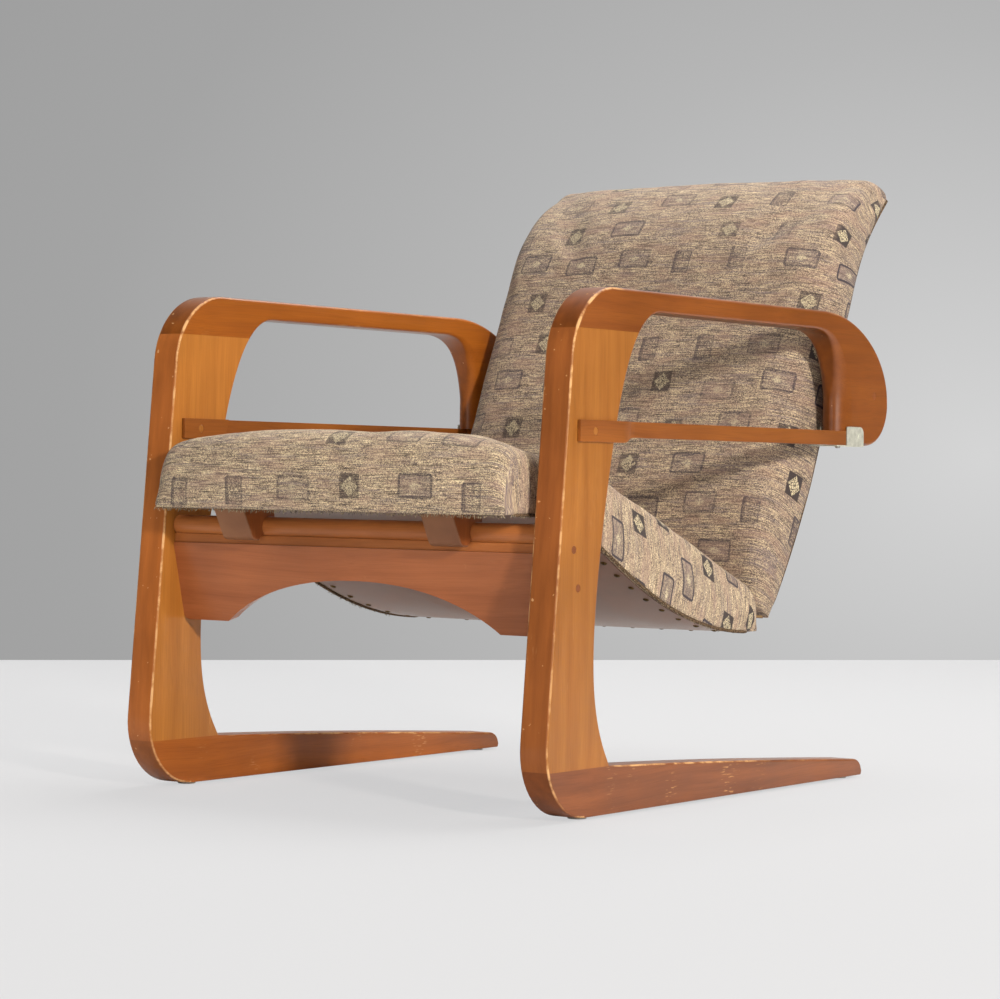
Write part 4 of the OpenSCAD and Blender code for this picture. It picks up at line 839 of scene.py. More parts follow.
# %% Materials for the parts that keep their CAD mesh
PLAIN = [
    (STEEL, "frame_screws hook_screws rest_screws strap_screws"),
    (INNER_WOOD, "foot_joint_dowels arm_joint_dowels seat_left_board seat_right_board seat_front_rail "
                 "seat_hook_rail seat_rear_rail back_left_stile back_right_stile back_top_rail "
                 "back_middle_rail back_bottom_rail"),
    (JUTE, "seat_cross_webbing seat_long_webbing back_cross_webbing back_long_webbing")]
for material, nodes in PLAIN:
    for node in nodes.split():
        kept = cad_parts[node]
        if not kept.material_slots:
            kept.data.materials.append(material)
        for given in kept.material_slots:
            given.material = material
print("plain parts given a finish:", sum(len(nodes.split()) for _, nodes in PLAIN))

# %% [markdown]
# Upholstery: two stuffed shells
#
# The seat and the back are boards and webbing with padding on top and one cover
# stretched over everything. What shows is only the cover, so each cushion is one
# closed shell. It is laid out like the cloth on it: stations run along the profile,
# from the front hem over the top to the rear, and columns run across, up one side,
# over a rounded edge and down the other side. That order gives even quads for the
# cloth solver and a UV map that follows the weave for free.

# %% Profile of the seat
SKIN_GAP, ROLL_Y, ROLL_RUN, LIP_Y, SEAT_TOP_REAR = 0.8, 20, 95.0, -8, (545.0, 264.0)
# Where the points under the cover begin and end, and where the crown starts to fade, and over what
LOW_FRONT_Y, LOW_REAR_Y, FADE_Y, FADE_RUN = 3, 573.5, 433, 112
TAIL_RUN, TAIL_FALL, TAIL_Z, FACE_LOW = 31, 67, 233, 199.5
LEVEL_END, UNDER_END = 105.0, 574.0
UNDER_RUN, UNDER_FALL = UNDER_END - LEVEL_END, SEAT_LOW - SEAT_REAR_Z


def resample(rows, step):
    """Even steps along the first two columns; every other column goes along with them."""
    p = np.array(rows, float)
    run = run_along(p[:, :2])
    at = np.linspace(0, run[-1], int(round(run[-1] / step)) + 1)
    return np.column_stack([np.interp(at, run, column) for column in p.T] + [at])


def by_shares(a, b, first, second, n):
    """A Bezier whose handles lie at shares of the way from a to b, in y and in z."""
    a, b = np.array(a, float), np.array(b, float)
    return bezier(a, a + first * (b - a), a + second * (b - a), b, n)


def under_curve(front, level_n, fall_n):
    """The seat's underside: level at the front, then falling to the rear."""
    fall = bezier((LEVEL_END, SEAT_LOW), (LEVEL_END + 0.18 * UNDER_RUN, SEAT_LOW - 0.083 * UNDER_FALL),
                  (LEVEL_END + 0.48 * UNDER_RUN, SEAT_REAR_Z - 0.013 * UNDER_FALL),
                  (UNDER_END, SEAT_REAR_Z), fall_n)
    return np.vstack([straight((front, SEAT_LOW), (LEVEL_END, SEAT_LOW), level_n), fall[1:]])


seat_under = under_curve(LIP_Y, 4, 80)


def under_z(y):
    return np.interp(y, seat_under[:, 0], seat_under[:, 1])


def seat_rows():
    """Rows: a point of the cover, the point under it, and the share of the crown."""
    roll = bezier((LIP_Y, SEAT_LOW), (-20, 392.5), (-14, 439), (ROLL_Y, SEAT_H), 40)
    top = by_shares((ROLL_Y, SEAT_H), SEAT_TOP_REAR, (0.171, 0.017), (0.343, 0.237), 80)
    tail = bezier(SEAT_TOP_REAR, (SEAT_TOP_REAR[0] + 0.74 * TAIL_RUN, SEAT_TOP_REAR[1] - 0.134 * TAIL_FALL),
                  (SEAT_REAR_Y, SEAT_TOP_REAR[1] - 0.3 * TAIL_FALL), (SEAT_REAR_Y, TAIL_Z), 24)
    rear = np.vstack([tail[:-1], straight((SEAT_REAR_Y, TAIL_Z), (SEAT_REAR_Y, FACE_LOW), 8)])

    def foot_of(p):
        lean = -0.07 + 0.22 * (p[0] - ROLL_Y) / (SEAT_TOP_REAR[0] - ROLL_Y)
        return p[0] - lean * (p[1] - under_z(p[0]))

    first, last = foot_of(top[0]), foot_of(top[-1])
    rows = []
    for p, s in zip(roll[:-1], run_along(roll) / ROLL_RUN):
        rows.append((*p, LOW_FRONT_Y + (first - LOW_FRONT_Y) * s, 0.3 + 0.7 * min(1, s)))
    for p in top[:-1]:
        rows.append((*p, foot_of(p), 1 - 0.5 * max(0.0, (p[0] - FADE_Y) / FADE_RUN)))
    for p, s in zip(rear, run_along(rear) / run_along(rear)[-1]):
        rows.append((*p, last + (LOW_REAR_Y - last) * s, max(0.0, 0.5 - 1.2 * s)))
    return [(y, z, low_y, under_z(low_y) + SKIN_GAP, share) for y, z, low_y, share in rows]


GRID = 10.0
seat_stations = resample(seat_rows(), GRID)
print("stations:", len(seat_stations), "along the seat")

# %% Profile of the back
back_dir = np.array((math.sin(BACK_LEAN), math.cos(BACK_LEAN)))
FRONT_A, REAR_A, HEEL, BACK_FOOT = np.array([(652.0, 455.0), (726.0, 432.5), (605.0, 213.0), (579.0, 235.0)])
TOP_RUN, TOP_FALL = 44, 27
FRONT_RUN = (BACK_H - FRONT_A[1]) / math.cos(BACK_LEAN)
REAR_RUN = (BACK_H - TOP_FALL - REAR_A[1]) / math.cos(BACK_LEAN)
FRONT_B, REAR_B = FRONT_A + 0.62 * FRONT_RUN * back_dir, REAR_A + 0.645 * REAR_RUN * back_dir
TOP_FRONT, TOP_REAR = (BACK_REAR_Y - TOP_RUN, BACK_H - 3), (BACK_REAR_Y - 2, BACK_H - TOP_FALL)


def rear_parts(low_n, mid_n, top_n):
    low = by_shares(HEEL, REAR_A, (0.23, 0.17), (0.645, 0.526), low_n)
    top = bezier(REAR_B, REAR_B + 0.166 * REAR_RUN * back_dir,
                 (BACK_REAR_Y - 0.91 * TOP_RUN, BACK_H - 2.3 * TOP_FALL), TOP_REAR, top_n)
    return low, straight(REAR_A, REAR_B, mid_n), top


def joined(first, *others):
    return np.vstack([first] + [part[1:] for part in others])


def back_rows():
    """Rows as for the seat, with the point on the rear face in place of the one below."""
    low, mid, top = rear_parts(40, 30, 40)
    front_low = by_shares(BACK_FOOT, FRONT_A, (0.03, 0.33), (0.59, 0.68), 40)
    front_top = bezier(FRONT_B, FRONT_B + 0.18 * FRONT_RUN * back_dir,
                       (BACK_REAR_Y - 2.3 * TOP_RUN, BACK_H - 22), TOP_FRONT, 40)
    over = bezier(TOP_FRONT, (BACK_REAR_Y - 0.6 * TOP_RUN, BACK_H + 8), (BACK_REAR_Y, BACK_H + 8),
                  (BACK_REAR_Y - 1, BACK_H - 0.56 * TOP_FALL), 20)
    corner = bezier((603, 216), (594, 221), (580, 227), BACK_FOOT, 12)

    def along(part, a, b, n):
        at = np.linspace(a, b, n)
        return np.column_stack([np.interp(at, np.linspace(0, 1, len(part)), column) for column in part.T])

    pairs = [(corner[:-1], along(low, 0.0, 0.05, 12), lambda s: 0.0),
             (front_low[:-1], along(low, 0.05, 1.0, 40), lambda s: min(1.0, max(0.0, (s * 7 - 1) / 4))),
             (straight(FRONT_A, FRONT_B, 30)[:-1], along(mid, 0.0, 1.0, 31)[:-1], lambda s: 1.0),
             (front_top[:-1], along(top, 0.0, 0.7, 41)[:-1], lambda s: 1 - max(0.0, s - 0.86) * 1.2),
             (over, along(top, 0.7, 1.0, 21), lambda s: 0.83 * (1 - s))]
    rows = []
    for front, rear, share in pairs:
        for k, (p, q) in enumerate(zip(front, rear)):
            inward = (p - q) / max(np.linalg.norm(p - q), 1e-6)
            rows.append((*p, *(q + SKIN_GAP * inward), share(k / max(len(front) - 1, 1))))
    return rows


back_stations, back_rear = resample(back_rows(), GRID), joined(*rear_parts(40, 30, 40))
print("stations:", len(back_stations), "along the back")

# %% Lay out a shell from its stations
# The front corners of the seat round down, by less and less over these millimetres
DROOP_REACH, DROOP_END, DROOP_FADE = 36.0, 190.0, 110.0


def clipped(value):
    return min(1.0, max(0.0, value))


def cross_section(half, height, r, bulge, side_n, round_n, top_n):
    """Half a section, from the hem up the side and over the edge to the middle: x and height."""
    for k in range(side_n + 1):
        swell = bulge * math.sin(math.pi * (k / side_n) ** 1.3) * min(1.0, height / 60)
        yield half + swell - 1.2 * (1 - min(1, k / 2.0)), (height - r) * k / side_n
    for k in range(1, round_n + 1):
        a = math.pi / 2 * k / round_n
        yield half - r * (1 - math.cos(a)), height - r * (1 - math.sin(a))
    for k in range(1, top_n + 1):
        yield (half - r) * (1 - k / top_n), height


def shell(name, stations, radius, crown, counts, half_of, bulge, lift=0.0, droop=0.0, roll_end=None):
    """Each station: a point of the cover, the point under it, crown share and run. The counts are
    faces up a side, over an edge and across half the top. With the run at the roll's end given,
    the cloth of the sides runs level in front of it. Returns the object, where the stuffing may
    move it, and where it is held."""
    t, low, share, run = stations[:, :2], stations[:, 2:4], stations[:, 4], stations[:, 5]
    out = left_of(flow_of(t))
    n, cols = len(stations), 2 * sum(counts) + 1
    front_share = np.clip((share - 0.3) / 0.7, 0, 1) * np.clip((DROOP_END - t[:, 0]) / DROOP_FADE, 0, 1)
    verts, uvs, mask, pin = [], [], [], []
    for i in range(n):
        height = np.linalg.norm(t[i] - low[i])
        up = (t[i] - low[i]) / height
        half = half_of(i / (n - 1))
        row, loose, held = [], [], []
        r = min(radius(t[i][0]), 0.62 * height)
        for k, (x, h) in enumerate(cross_section(half, height, r, bulge, *counts)):
            rise = crown * share[i] * (1 - min(1.0, x / half) ** 2.4)
            rise -= droop * front_share[i] * math.exp((min(x, half) - half) / DROOP_REACH)
            rise += lift * share[i] * (1 - front_share[i])
            row.append((x, *(low[i] + up * h + out[i] * rise * min(1.0, h / height) ** 2)))
            loose.append(min(1.0, k / max(counts[0] * 0.7, 1)) * min(1.0, share[i] * 1.3))
            held.append(1.0 if k <= 1 else 0.0)
        far = run_along(row)
        far = (far[-1] - far) / 1000
        verts += row + [(-x, y, z) for x, y, z in row[-2::-1]]
        uvs.append([(f, run[i] / 1000) for f in [*far, *-far[-2::-1]]])
        mask += loose + loose[-2::-1]
        pin += held + held[-2::-1]
    top_count = n * cols
    for i in range(n):
        for j in range(1, cols - 1):
            verts.append((verts[i * cols][0] * (1 - 2 * j / (cols - 1)), *low[i]))
    mask += [0.0] * (len(verts) - top_count)
    pin += [1.0] * (len(verts) - top_count)

    def under(i, j):
        return i * cols + j if j in (0, cols - 1) else top_count + i * (cols - 2) + j - 1

    def flat_uv(ids, shift=0.0):
        return [(verts[k][0] / 1000, verts[k][1] / 1000 + shift) for k in ids]

    faces, face_uvs = [], []
    side_reach = counts[0] + counts[1] // 2
    for i in range(n - 1):
        for j in range(cols - 1):
            ids = (i * cols + j, i * cols + j + 1, (i + 1) * cols + j + 1, (i + 1) * cols + j)
            corners = [uvs[i][j], uvs[i][j + 1], uvs[i + 1][j + 1], uvs[i + 1][j]]
            on_side = j < side_reach or j >= cols - 1 - side_reach
            if roll_end and on_side and t[i][0] < ROLL_Y + 0.01 and i < n // 3:
                corners = [(u, (roll_end + verts[k][1] - ROLL_Y - 0.07 * (SEAT_H - verts[k][2])) / 1000)
                           for (u, _), k in zip(corners, ids)]
            lower = (under(i, j), under(i + 1, j), under(i + 1, j + 1), under(i, j + 1))
            faces += [ids, lower]
            face_uvs += [corners, flat_uv(lower, 0.9)]
    for i in (0, n - 1):
        for j in range(cols - 1):
            ids = list(dict.fromkeys([i * cols + j, under(i, j), under(i, j + 1), i * cols + j + 1]))
            faces.append(ids[::-1] if i else ids)
            face_uvs.append(flat_uv(faces[-1]))
    data = bpy.data.meshes.new(name)
    data.from_pydata([place(*v) for v in verts], [], faces)
    layer = data.uv_layers.new(name="cloth")
    for poly, corners in zip(data.polygons, face_uvs):
        for loop, uv in zip(poly.loop_indices, corners):
            layer.data[loop].uv = uv
    mesh = bmesh.new()
    mesh.from_mesh(data)
    fold = mesh.edges.layers.float.new("crease_edge")
    for line in mesh.edges:
        a, b = (v.index for v in line.verts)
        on_hem = a % cols in (0, cols - 1) and abs(a - b) == cols
        on_end = a // cols == b // cols and a // cols in (0, n - 1)
        if max(a, b) < top_count and (on_hem or on_end):
            line[fold] = 0.9
    pin = np.array(pin)
    pin[:cols] = pin[top_count - cols:top_count] = 1
    return piece(name, written(mesh, data)), np.array(mask), pin


def seat_radius(y):
    """The seat is rounder at its front corners than along its sides."""
    return 21.0 - 10.0 * clipped((y - 60) / 120)


def seat_width(s):
    return SEAT_HALF - 0.5 * math.sin(math.pi * clipped(s)) ** 0.8


def back_width(s):
    return SEAT_HALF + 5.5 * min(1.0, s / 0.3) * (1 - 0.4 * max(0.0, (s - 0.85) / 0.15))


roll_end = seat_stations[np.argmin(np.linalg.norm(seat_stations[:, :2] - (ROLL_Y, SEAT_H), axis=1))][5]
seat_cushion, seat_mask, seat_pin = shell(
    "seat_cushion", seat_stations, seat_radius, 5.0, (8, 5, 23), seat_width, 3.0, 4.0, 12.5, roll_end)
back_cushion, back_mask, back_pin = shell(
    "back_cushion", back_stations, lambda y: 25.0, 10.0, (5, 6, 24), back_width, 1.2)
print("seat shell", len(seat_cushion.data.polygons), "faces; back shell", len(back_cushion.data.polygons))

# %% [markdown]
# Stuffing the covers
#
# A cover takes its shape from what presses on it from inside. The cloth solver
# does the same: a little air pressure, no gravity, the hem and the underside held
# where the tacks hold them. The movement is capped, so that the cushions stay at
# their real size and keep clear of each other where seat and back meet.

# %% Cloth simulation
CAP, FRAMES = 0.007, 20
SOLVER = {"quality": 6, "mass": 0.25, "tension_stiffness": 25, "compression_stiffness": 12,
          "shear_stiffness": 8, "bending_stiffness": 1.2, "use_pressure": True,
          "uniform_pressure_force": 4.0, "vertex_group_mass": "held"}


def stuff(made, mask, pin):
    start = np.array([v.co for v in made.data.vertices])
    held = made.vertex_groups.new(name="held")
    held.add(np.flatnonzero(pin > 0).tolist(), 1.0, "REPLACE")
    cloth = made.modifiers.new("cloth", "CLOTH")
    for key, value in SOLVER.items():
        setattr(cloth.settings, key, value)
    cloth.settings.effector_weights.gravity = 0.0
    cloth.collision_settings.use_collision = cloth.collision_settings.use_self_collision = False
    cloth.point_cache.frame_start, cloth.point_cache.frame_end = 1, FRAMES
    for number in range(1, FRAMES + 1):
        scene.frame_set(number)
    deps = bpy.context.evaluated_depsgraph_get()
    move = np.array([v.co for v in made.evaluated_get(deps).data.vertices]) - start
    made.modifiers.remove(cloth)
    made.vertex_groups.clear()
    scene.frame_set(1)
    length = np.linalg.norm(move, axis=1)
    keep = np.where(length > 1e-9, CAP * np.tanh(length / CAP) / np.maximum(length, 1e-9), 0.0) * mask
    made.data.vertices.foreach_set("co", (start + move * keep[:, None]).ravel())
    made.data.update()
    print(made.name, "moved up to", round(float(length.max()) * 1000, 1), "mm, kept",
          round(float((length * keep).max()) * 1000, 1))


stuff(seat_cushion, seat_mask, seat_pin)
stuff(back_cushion, back_mask, back_pin)

# %% Wear, pull marks and a finer mesh
TACK_PITCH, PULL_REACH = 44.0, 22.0


def dress(made, material, nodes, hollows, pull, lump):
    """Hollows: x, y, z, radius and depth; pull: depth of the marks over the tacks; all in mm."""
    data = made.data
    points = np.array([v.co for v in data.vertices]) * 1000 + (0, MID_Y, 0)
    normals = np.array([v.normal for v in data.vertices])
    shift = np.zeros(len(points))
    for x, y, z, radius, depth in hollows:
        shift -= depth * np.exp(-(np.linalg.norm(points - (x, y, z), axis=1) / radius) ** 2)
    above = points[:, 2] - under_z(points[:, 1])
    on_side = (np.abs(points[:, 0]) > SEAT_HALF - 8) & (above > -1)
    above = np.maximum(above, 0)
    mark = (np.cos(2 * math.pi * points[:, 1] / TACK_PITCH) - 0.4) * np.exp(-above / PULL_REACH)
    shift += np.where(on_side, pull * mark * np.minimum(1, above / 8), 0)
    lumps = [noise.noise(Vector(p) / 62.0) + 0.5 * noise.noise(Vector(p) / 27.0) for p in points]
    shift += lump * np.minimum(1.0, above / 40) * np.array(lumps)
    points = points + normals * shift[:, None]
    data.vertices.foreach_set("co", ((points - (0, MID_Y, 0)) / 1000).ravel())
    fine = made.modifiers.new("fine", "SUBSURF")
    fine.levels = fine.render_levels = 1
    baked(made).materials.append(material)
    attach(made, "seat_unit")
    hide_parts(*nodes)


dress(seat_cushion, SEAT_CLOTH_PAINTED_LIGHTER, ("seat_pad", "seat_left_side_pad", "seat_right_side_pad"),
      [(0, 300, 400, 190, 5.0), (70, 180, 440, 90, 1.5)], 0.7, 2.2)
dress(back_cushion, BACK_CLOTH_PAINTED_DARKER, ("back_pad", "back_left_side_pad", "back_right_side_pad"),
      [(0, 650, 470, 170, 4.0), (-60, 760, 660, 120, 2.0)], 0.0, 1.6)
print("cushions:", len(seat_cushion.data.polygons), "and", len(back_cushion.data.polygons), "faces")

# %% [markdown]
# Covers, tacks, piping and fringe
#
# Coated cloth closes the underside and the rear. Its edges lie flat under the tacks
# and it bellies out a little between them. Tacks and threads repeat by the hundred,
# so Geometry Nodes places them: one node tree puts a small shape on every point,
# turned to face along a stored direction, and the result becomes a plain mesh.

# %% Flat covers
COVER_T, COVER_COLS = 2.0, 41


def cover(name, chain, half, belly, node):
    """Chain: points y, z along the outer face, which lies to the left of the direction of travel."""
    line = resample(chain, 12.0)[:, :2]
    across = np.linspace(-half, half, COVER_COLS)
    n, m = len(line), COVER_COLS
    verts = []
    for thick in (0.0, COVER_T):
        for i, (p, way) in enumerate(zip(line, left_of(flow_of(line)))):
            ends = math.sin(math.pi * i / (n - 1)) ** 0.5 if 0 < i < n - 1 else 0.0
            for x in across:
                bulge = belly * ends * (1 - abs(x / half) ** 2.5)
                verts.append(place(x, *(p + way * thick - way * bulge)))

    def at(layer, i, j):
        return (layer * n + i) * m + j

    faces = []
    for i in range(n - 1):
        for j in range(m - 1):
            faces.append((at(0, i, j), at(0, i, j + 1), at(0, i + 1, j + 1), at(0, i + 1, j)))
            faces.append((at(1, i, j), at(1, i + 1, j), at(1, i + 1, j + 1), at(1, i, j + 1)))
    walls = [(i, j, i + 1, j) for i in range(n - 1) for j in (0, m - 1)]
    walls += [(i, j, i, j + 1) for j in range(m - 1) for i in (0, n - 1)]
    faces += [(at(0, i, j), at(0, k, l), at(1, k, l), at(1, i, j)) for i, j, k, l in walls]
    data = bpy.data.meshes.new(name)
    data.from_pydata(verts, [], faces)
    mesh = bmesh.new()
    mesh.from_mesh(data)
    made = piece(name, written(mesh, data), LEATHER_CLOTH)
    settle(made, 40)
    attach(made, "seat_unit")
    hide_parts(node)


cover_low, cover_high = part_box("underside_cover")
cover_start = cover_low.y * 1000 + MID_Y
under_chain = np.vstack([[cover_start, under_z(cover_start)], seat_under[seat_under[:, 0] > cover_start]])
cover("underside_leather_cloth", under_chain, cover_high.x * 1000, 2.0, "underside_cover")
cover("back_leather_cloth", back_rear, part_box("back_cover")[1].x * 1000, 3.0, "back_cover")
print("underside cover from", round(cover_start, 1), "mm, half width", round(cover_high.x * 1000, 1))

# %% A node tree that sets a shape on every point
def scatter_tree(name):
    tree = bpy.data.node_groups.new(name, "GeometryNodeTree")
    nodes, sockets = Nodes(tree), {}
    tree.interface.new_socket("Points", in_out="INPUT", socket_type="NodeSocketGeometry")
    for label, kind in (("Shape", "Object"), ("Finish", "Material"), ("Size spread", "Float"),
                        ("Tilt spread", "Float"), ("Seed", "Int")):
        socket = tree.interface.new_socket(label, in_out="INPUT", socket_type="NodeSocket" + kind)
        sockets[label] = socket.identifier
    tree.interface.new_socket("Result", in_out="OUTPUT", socket_type="NodeSocketGeometry")
    given = nodes.add("NodeGroupInput").outputs
    shape = nodes.add("GeometryNodeObjectInfo", {"Object": given["Shape"]}).outputs["Geometry"]
    vectors = {"data_type": "FLOAT_VECTOR"}
    facing = nodes.result("GeometryNodeInputNamedAttribute", {"Name": "facing"}, **vectors)
    upright = nodes.result("FunctionNodeAlignEulerToVector", {"Vector": facing}, axis="Z")
    tilt, spread = given["Tilt spread"], given["Size spread"]
    back = nodes.maths("MULTIPLY", tilt, -1.0)
    lows = nodes.result("ShaderNodeCombineXYZ", {0: back, 1: back, 2: -3.14})
    highs = nodes.result("ShaderNodeCombineXYZ", {0: tilt, 1: tilt, 2: 3.14})
    lean = nodes.result("FunctionNodeRandomValue", {0: lows, 1: highs, "Seed": given["Seed"]}, **vectors)
    turned = nodes.result("FunctionNodeRotateEuler", {0: upright, 1: lean}, space="LOCAL")
    limits = {2: nodes.maths("SUBTRACT", 1.0, spread), 3: nodes.maths("ADD", 1.0, spread)}
    size = nodes.result("FunctionNodeRandomValue", {**limits, "Seed": given["Seed"]}, 1, data_type="FLOAT")
    placed = nodes.result("GeometryNodeInstanceOnPoints", {
        "Points": given["Points"], "Instance": shape, "Rotation": turned, "Scale": size})
    real = nodes.result("GeometryNodeRealizeInstances", {0: placed})
    done = nodes.result("GeometryNodeSetMaterial", {0: real, "Material": given["Finish"]})
    nodes.add("NodeGroupOutput", {0: done})
    return tree, sockets


SCATTER, SOCKETS = scatter_tree("shape_on_points")


def scatter(name, points, facings, shape, material, size_spread, tilt_spread, seed):
    data = bpy.data.meshes.new(name)
    data.from_pydata([place(*p) for p in points], [], [])
    facing = data.attributes.new("facing", "FLOAT_VECTOR", "POINT")
    facing.data.foreach_set("vector", np.array(facings, float).ravel())
    made = piece(name, data)
    step = made.modifiers.new("scatter", "NODES")
    step.node_group = SCATTER
    for key, value in zip(SOCKETS.values(), (shape, material, size_spread, tilt_spread, seed)):
        step[key] = value
    baked(made)
    discard(shape)
    return made


def turned_shape(name, rings, sides):
    """A small turned solid: rings of radius, height and sideways shift in mm, closed at both ends."""
    mesh = bmesh.new()
    turns = [2 * math.pi * k / sides for k in range(sides)]
    return skinned(name, mesh, [
        [mesh.verts.new(((r * math.cos(a) + off) / 1000, r * math.sin(a) / 1000, h / 1000)) for a in turns]
        for r, h, off in rings])


print("scatter tree inputs:", list(SOCKETS))

# %% Tacks round the covers
# The CAD's own coarse segments of a curve: a tack sits on the middle of each
TACK_X = 239.2
tack_points, tack_facings = [], []
for chain, used, rows in ((under_curve(12, 2, 14), range(3, 16), (15,)),
                          (joined(*rear_parts(7, 5, 7)), range(0, 19), (1, 18))):
    middles, outs = (chain[:-1] + chain[1:]) / 2, -left_of(unit(np.diff(chain, axis=0)))
    spots = [(side * TACK_X, i) for i in used for side in (-1, 1)]
    spots += [(k * TACK_PITCH, i) for i in rows for k in range(-4, 5)]
    tack_points += [(x, *(middles[i] + 0.4 * outs[i])) for x, i in spots]
    tack_facings += [(0, *outs[i]) for _, i in spots]
dome = turned_shape("tack_head", [(3.9, -0.6, 0), (4, 0.1, 0), (3.6, 0.9, 0), (2.6, 1.6, 0), (1.2, 2, 0)], 12)
tacks = scatter("upholstery_tacks", tack_points, tack_facings, dome, BRASS, 0.04, 0.06, 7)
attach(tacks, "seat_unit")
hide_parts("seat_tacks", "back_tacks")
print("tacks:", len(tack_points), "heads")

# %% Frayed fringe along the seat's lower edge
HEM_X, THREAD_PITCH = SEAT_HALF - 1.6, 1.5
rng = np.random.default_rng(11)
hem_points, hem_facings = [], []
for y, z, _ in resample(seat_stations[:, 2:4], THREAD_PITCH)[4:-60]:
    for side in (-1, 1):
        hem_points.append((side * (HEM_X + rng.uniform(-0.6, 0.4)), y + rng.uniform(-0.7, 0.7), z + 0.6))
        hem_facings.append((side * rng.uniform(0.0, 0.35), rng.uniform(-0.35, 0.35), -1.0))
for x in np.arange(-SEAT_HALF + 3, SEAT_HALF - 3, THREAD_PITCH):
    hem_points.append((x + rng.uniform(-0.5, 0.5), -5.5 + rng.uniform(-0.8, 0.8), SEAT_LOW + 0.6))
    hem_facings.append((rng.uniform(-0.3, 0.3), rng.uniform(-0.5, 0.1), -1.0))
thread = turned_shape("thread", [(0.45, 0.0, 0.0), (0.42, 1.4, 0.2), (0.36, 2.8, 0.6), (0.2, 4.0, 1.2)], 4)
fringe = scatter("frayed_fringe", hem_points, hem_facings, thread, THREAD, 0.4, 0.35, 5)
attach(fringe, "seat_unit")
print("fringe:", len(hem_points), "threads,", len(fringe.data.polygons), "faces")

# %% Piping on the rear edges of the back: dark, partly its own colour and partly painted shade along that edge
CORD_SIDES = 8


def tube(name, path, d):
    """A closed cord along points x, y, z in mm, thinner at both ends."""
    p = np.array(path, float)
    flow = flow_of(p)
    mesh = bmesh.new()
    loops = []
    side_way = np.cross(flow[0], (0.3, 0.5, 0.8))
    for k, (q, f) in enumerate(zip(p, flow)):
        side_way = side_way - f * np.dot(side_way, f)
        side_way = side_way / np.linalg.norm(side_way)
        other = np.cross(f, side_way)
        r = d / 2 * (0.55 if k in (0, len(p) - 1) else 1.0)
        loops.append([mesh.verts.new(place(*(q + r * (math.cos(a) * side_way + math.sin(a) * other))))
                      for a in np.linspace(0, 2 * math.pi, CORD_SIDES, endpoint=False)])
    made = skinned(name, mesh, loops, BRAID)
    made.data.polygons.foreach_set("use_smooth", [True] * len(made.data.polygons))
    return made


edge = resample(back_rear, 10.0)[:, :2]
edge = edge + 1.2 * left_of(flow_of(edge))
top_y, top_z = edge[-1]
PIPE_X = SEAT_HALF + 3.0
right_run = [(SEAT_HALF - 1 + 4 * min(1.0, k / 18), y, z) for k, (y, z) in enumerate(edge[2:])]
right_run += [(PIPE_X - 2 * k, top_y, top_z + 2 * math.sin(k)) for k in (1, 2)]
across = [(x, top_y + 0.2, top_z + 1.5) for x in np.linspace(PIPE_X - 12, -PIPE_X + 12, 50)]
# The piping's dark colour is partly painted shade along the back's rear edge.
piping = tube("back_edge_piping", right_run + across + [(-x, y, z) for x, y, z in right_run[::-1]], 3.0)
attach(piping, "seat_unit")
for side, label in ((-1, "left"), (1, "right")):
    hem_line = [(side * HEM_X, y, z - 0.4) for y, z, _ in resample(seat_stations[3:-5, 2:4], 8.0)]
    braid = tube(label + "_seat_edge_braid", hem_line, 4.2)
    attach(braid, "seat_unit")
print("piping:", len(piping.data.polygons), "faces; each seat braid:", len(braid.data.polygons))

# %% [markdown]
# Studio
#
# The photo was taken indoors, low and from the front right, with a long lens, in
# front of a pale grey wall. The camera below was solved from corners of the two
# side frames, so the model lands on the photo. A small key light from the right
# throws the arm's shadow on the back, broad soft lights fill in, and the floor takes
# a soft shadow. A camera behind the wall or under the floor looks through it.

# %% Wall and floor tones, with the wall's painted pool of light, and the camera
def backdrop(name, stops, middle, stretch, span, shade_share):
    """Glows with a set tone for the camera, ringed round a middle, and shows a plain matt surface to the
    light. On the wall the ring is a painted pool of light.
    """
    made, nodes = new_material(name)
    off = nodes.vector("SUBTRACT", nodes.object_space(), tuple(middle))
    far = nodes.length(nodes.vector("MULTIPLY", off, stretch))
    tone = nodes.ramp(nodes.remap(far, 0.0, span), stops)
    paint = nodes.result("ShaderNodeBsdfDiffuse", {"Color": tone})
    glow = nodes.result("ShaderNodeEmission", {"Color": tone, "Strength": 1.0})
    seen = nodes.add("ShaderNodeLightPath").outputs["Is Camera Ray"]
    behind = nodes.maths("MULTIPLY", nodes.add("ShaderNodeNewGeometry").outputs["Backfacing"], seen)
    shown = nodes.mix_shaders(seen, paint, nodes.mix_shaders(shade_share, glow, paint))
    clear = nodes.result("ShaderNodeBsdfTransparent")
    nodes.add("ShaderNodeOutputMaterial", {"Surface": nodes.mix_shaders(behind, shown, clear)})
    return made


YAW, PITCH, ROLL = math.radians(34.070), math.radians(-0.483), math.radians(0.899)
CAMERA_AT, LENS_MM, SENSOR_MM = (2.1736, -3.2975, 0.3945), 109.74, 36.0
ahead = Vector((-math.sin(YAW) * math.cos(PITCH), math.cos(YAW) * math.cos(PITCH), math.sin(PITCH)))
level = Vector((math.cos(YAW), math.sin(YAW), 0))
upright = level.cross(ahead)
right = level * math.cos(ROLL) + upright * math.sin(ROLL)
up = -level * math.sin(ROLL) + upright * math.cos(ROLL)
lens = bpy.data.cameras.new("photo_camera")
lens.sensor_fit, lens.sensor_width, lens.lens, lens.clip_end = "HORIZONTAL", SENSOR_MM, LENS_MM, 100
camera = bpy.data.objects.new("photo_camera", lens)
camera.matrix_world = Matrix([[right[i], up[i], -ahead[i], CAMERA_AT[i]] for i in range(3)] + [[0, 0, 0, 1]])
scene.collection.objects.link(camera)
scene.camera = camera
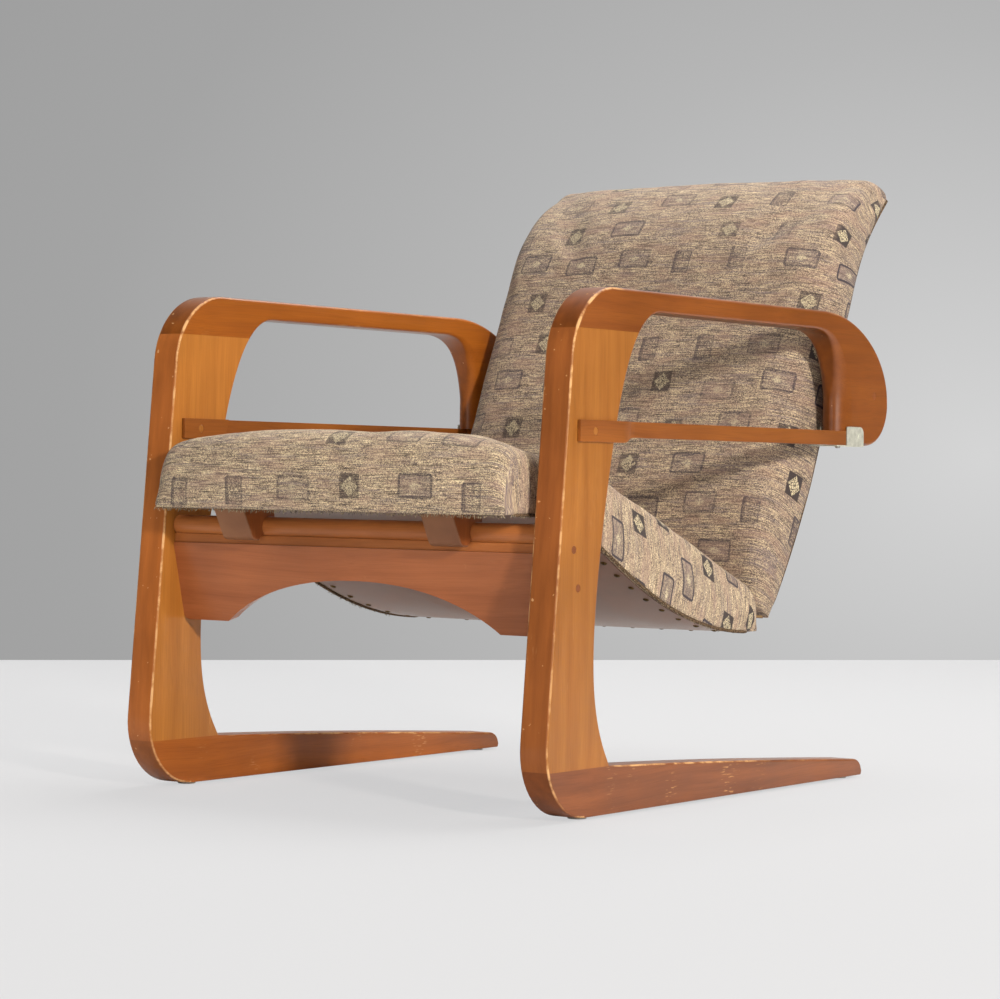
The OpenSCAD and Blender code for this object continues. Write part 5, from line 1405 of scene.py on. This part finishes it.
print("camera", [round(v, 3) for v in camera.location])

# %% Floor and wall
SEAM_PIXEL, REACH, WALL_H, FLOOR_SHADE = 660, 50, 20.0, 0.22


def floor_point(px, py):
    """Where the line of sight through a photo pixel meets the floor."""
    f = 1000 * LENS_MM / SENSOR_MM
    sight = ahead + right * ((px - 500) / f) - up * ((py - 499.5) / f)
    return camera.location + sight * (-camera.location.z / sight.z)


def stage_plane(name, corners, material):
    data = bpy.data.meshes.new(name)
    data.from_pydata([tuple(c) for c in corners], [], [(0, 1, 2, 3)])
    piece(name, data, material)


left_seam, right_seam = floor_point(0, SEAM_PIXEL), floor_point(1000, SEAM_PIXEL)
seam_mid, seam_way = (left_seam + right_seam) / 2, (right_seam - left_seam).normalized()
toward = Vector((seam_way.y, -seam_way.x, 0)) * REACH
a, b = seam_mid - seam_way * REACH / 2, seam_mid + seam_way * REACH / 2
floor_stops = [(0.0, "#DFDFE0"), (1.0, "#DFDFE0")]
floor_paint = backdrop("pale_floor", floor_stops, (0, 0, 0), (1, 1, 1), 1.0, FLOOR_SHADE)
# The wall's ring of tones is a painted pool of light: it glows brightest right of the middle, low down, and
# darkens towards the corners.
wall_glow_with_painted_light = backdrop("pale_wall", [(0.0, "#D5D5D5"), (0.48, "#B6B6B6"), (0.8, "#A4A4A4"), (1.0, "#9F9F9F")],
                      seam_mid + seam_way * 1.05 + Vector((0, 0, 0.45)), (1, 1, 1.3), 2.5, 0.0)
stage_plane("floor", [a - toward, a + toward, b + toward, b - toward], floor_paint)
stage_plane("wall", [a, b, (b.x, b.y, WALL_H), (a.x, a.y, WALL_H)], wall_glow_with_painted_light)
print("wall at", [round(v, 2) for v in seam_mid])

# %% Room light and lamps
WORLD_LEVEL, MIRROR_SHARE = 0.355, 0.25
world = bpy.data.worlds.new("room")
scene.world = world
world.use_nodes = True
world.node_tree.nodes.clear()
room = Nodes(world.node_tree)
rays = room.add("ShaderNodeLightPath").outputs
# A gloss sees less of the room than a matt surface does
mirrored_level = room.maths("MULTIPLY_ADD", rays["Is Glossy Ray"], MIRROR_SHARE - 1, 1.0)
strength = room.maths("MULTIPLY", mirrored_level, WORLD_LEVEL)
sky = room.result("ShaderNodeBackground", {"Color": "#F4F3F0", "Strength": strength})
backing = room.result("ShaderNodeBackground", {"Color": "#B4B4B4", "Strength": 1.0})
room.add("ShaderNodeOutputWorld", {"Surface": room.mix_shaders(rays["Is Camera Ray"], sky, backing)})


def softbox(name, at, aim_z, width, height, watts, tone):
    data = bpy.data.lights.new(name, "AREA")
    data.shape, data.size, data.size_y, data.energy = "RECTANGLE", width, height, watts
    data.color = linear(tone)[:3]
    made = bpy.data.objects.new(name, data)
    made.location = at
    made.rotation_euler = (Vector((0, 0, aim_z)) - Vector(at)).to_track_quat("-Z", "Y").to_euler()
    scene.collection.objects.link(made)


softbox("key_from_the_right", (4.25, -2.3, 1.85), 0.45, 0.4, 0.4, 190, "#FFF8F0")
softbox("overhead", (0.2, 1.3, 3.2), 0.4, 2.6, 2.6, 135, "#FFFDFA")
softbox("low_fill_from_the_front", (0.9, -5.0, 1.0), 0.4, 2.0, 1.4, 30, "#FFFCF6")
softbox("low_fill_from_the_right", (4.2, -1.6, 0.5), 0.2, 2.4, 0.8, 22, "#FFFCF6")
scene.view_settings.view_transform = "Standard"
print("lamps:", [(lamp.name, lamp.energy) for lamp in bpy.data.lights])
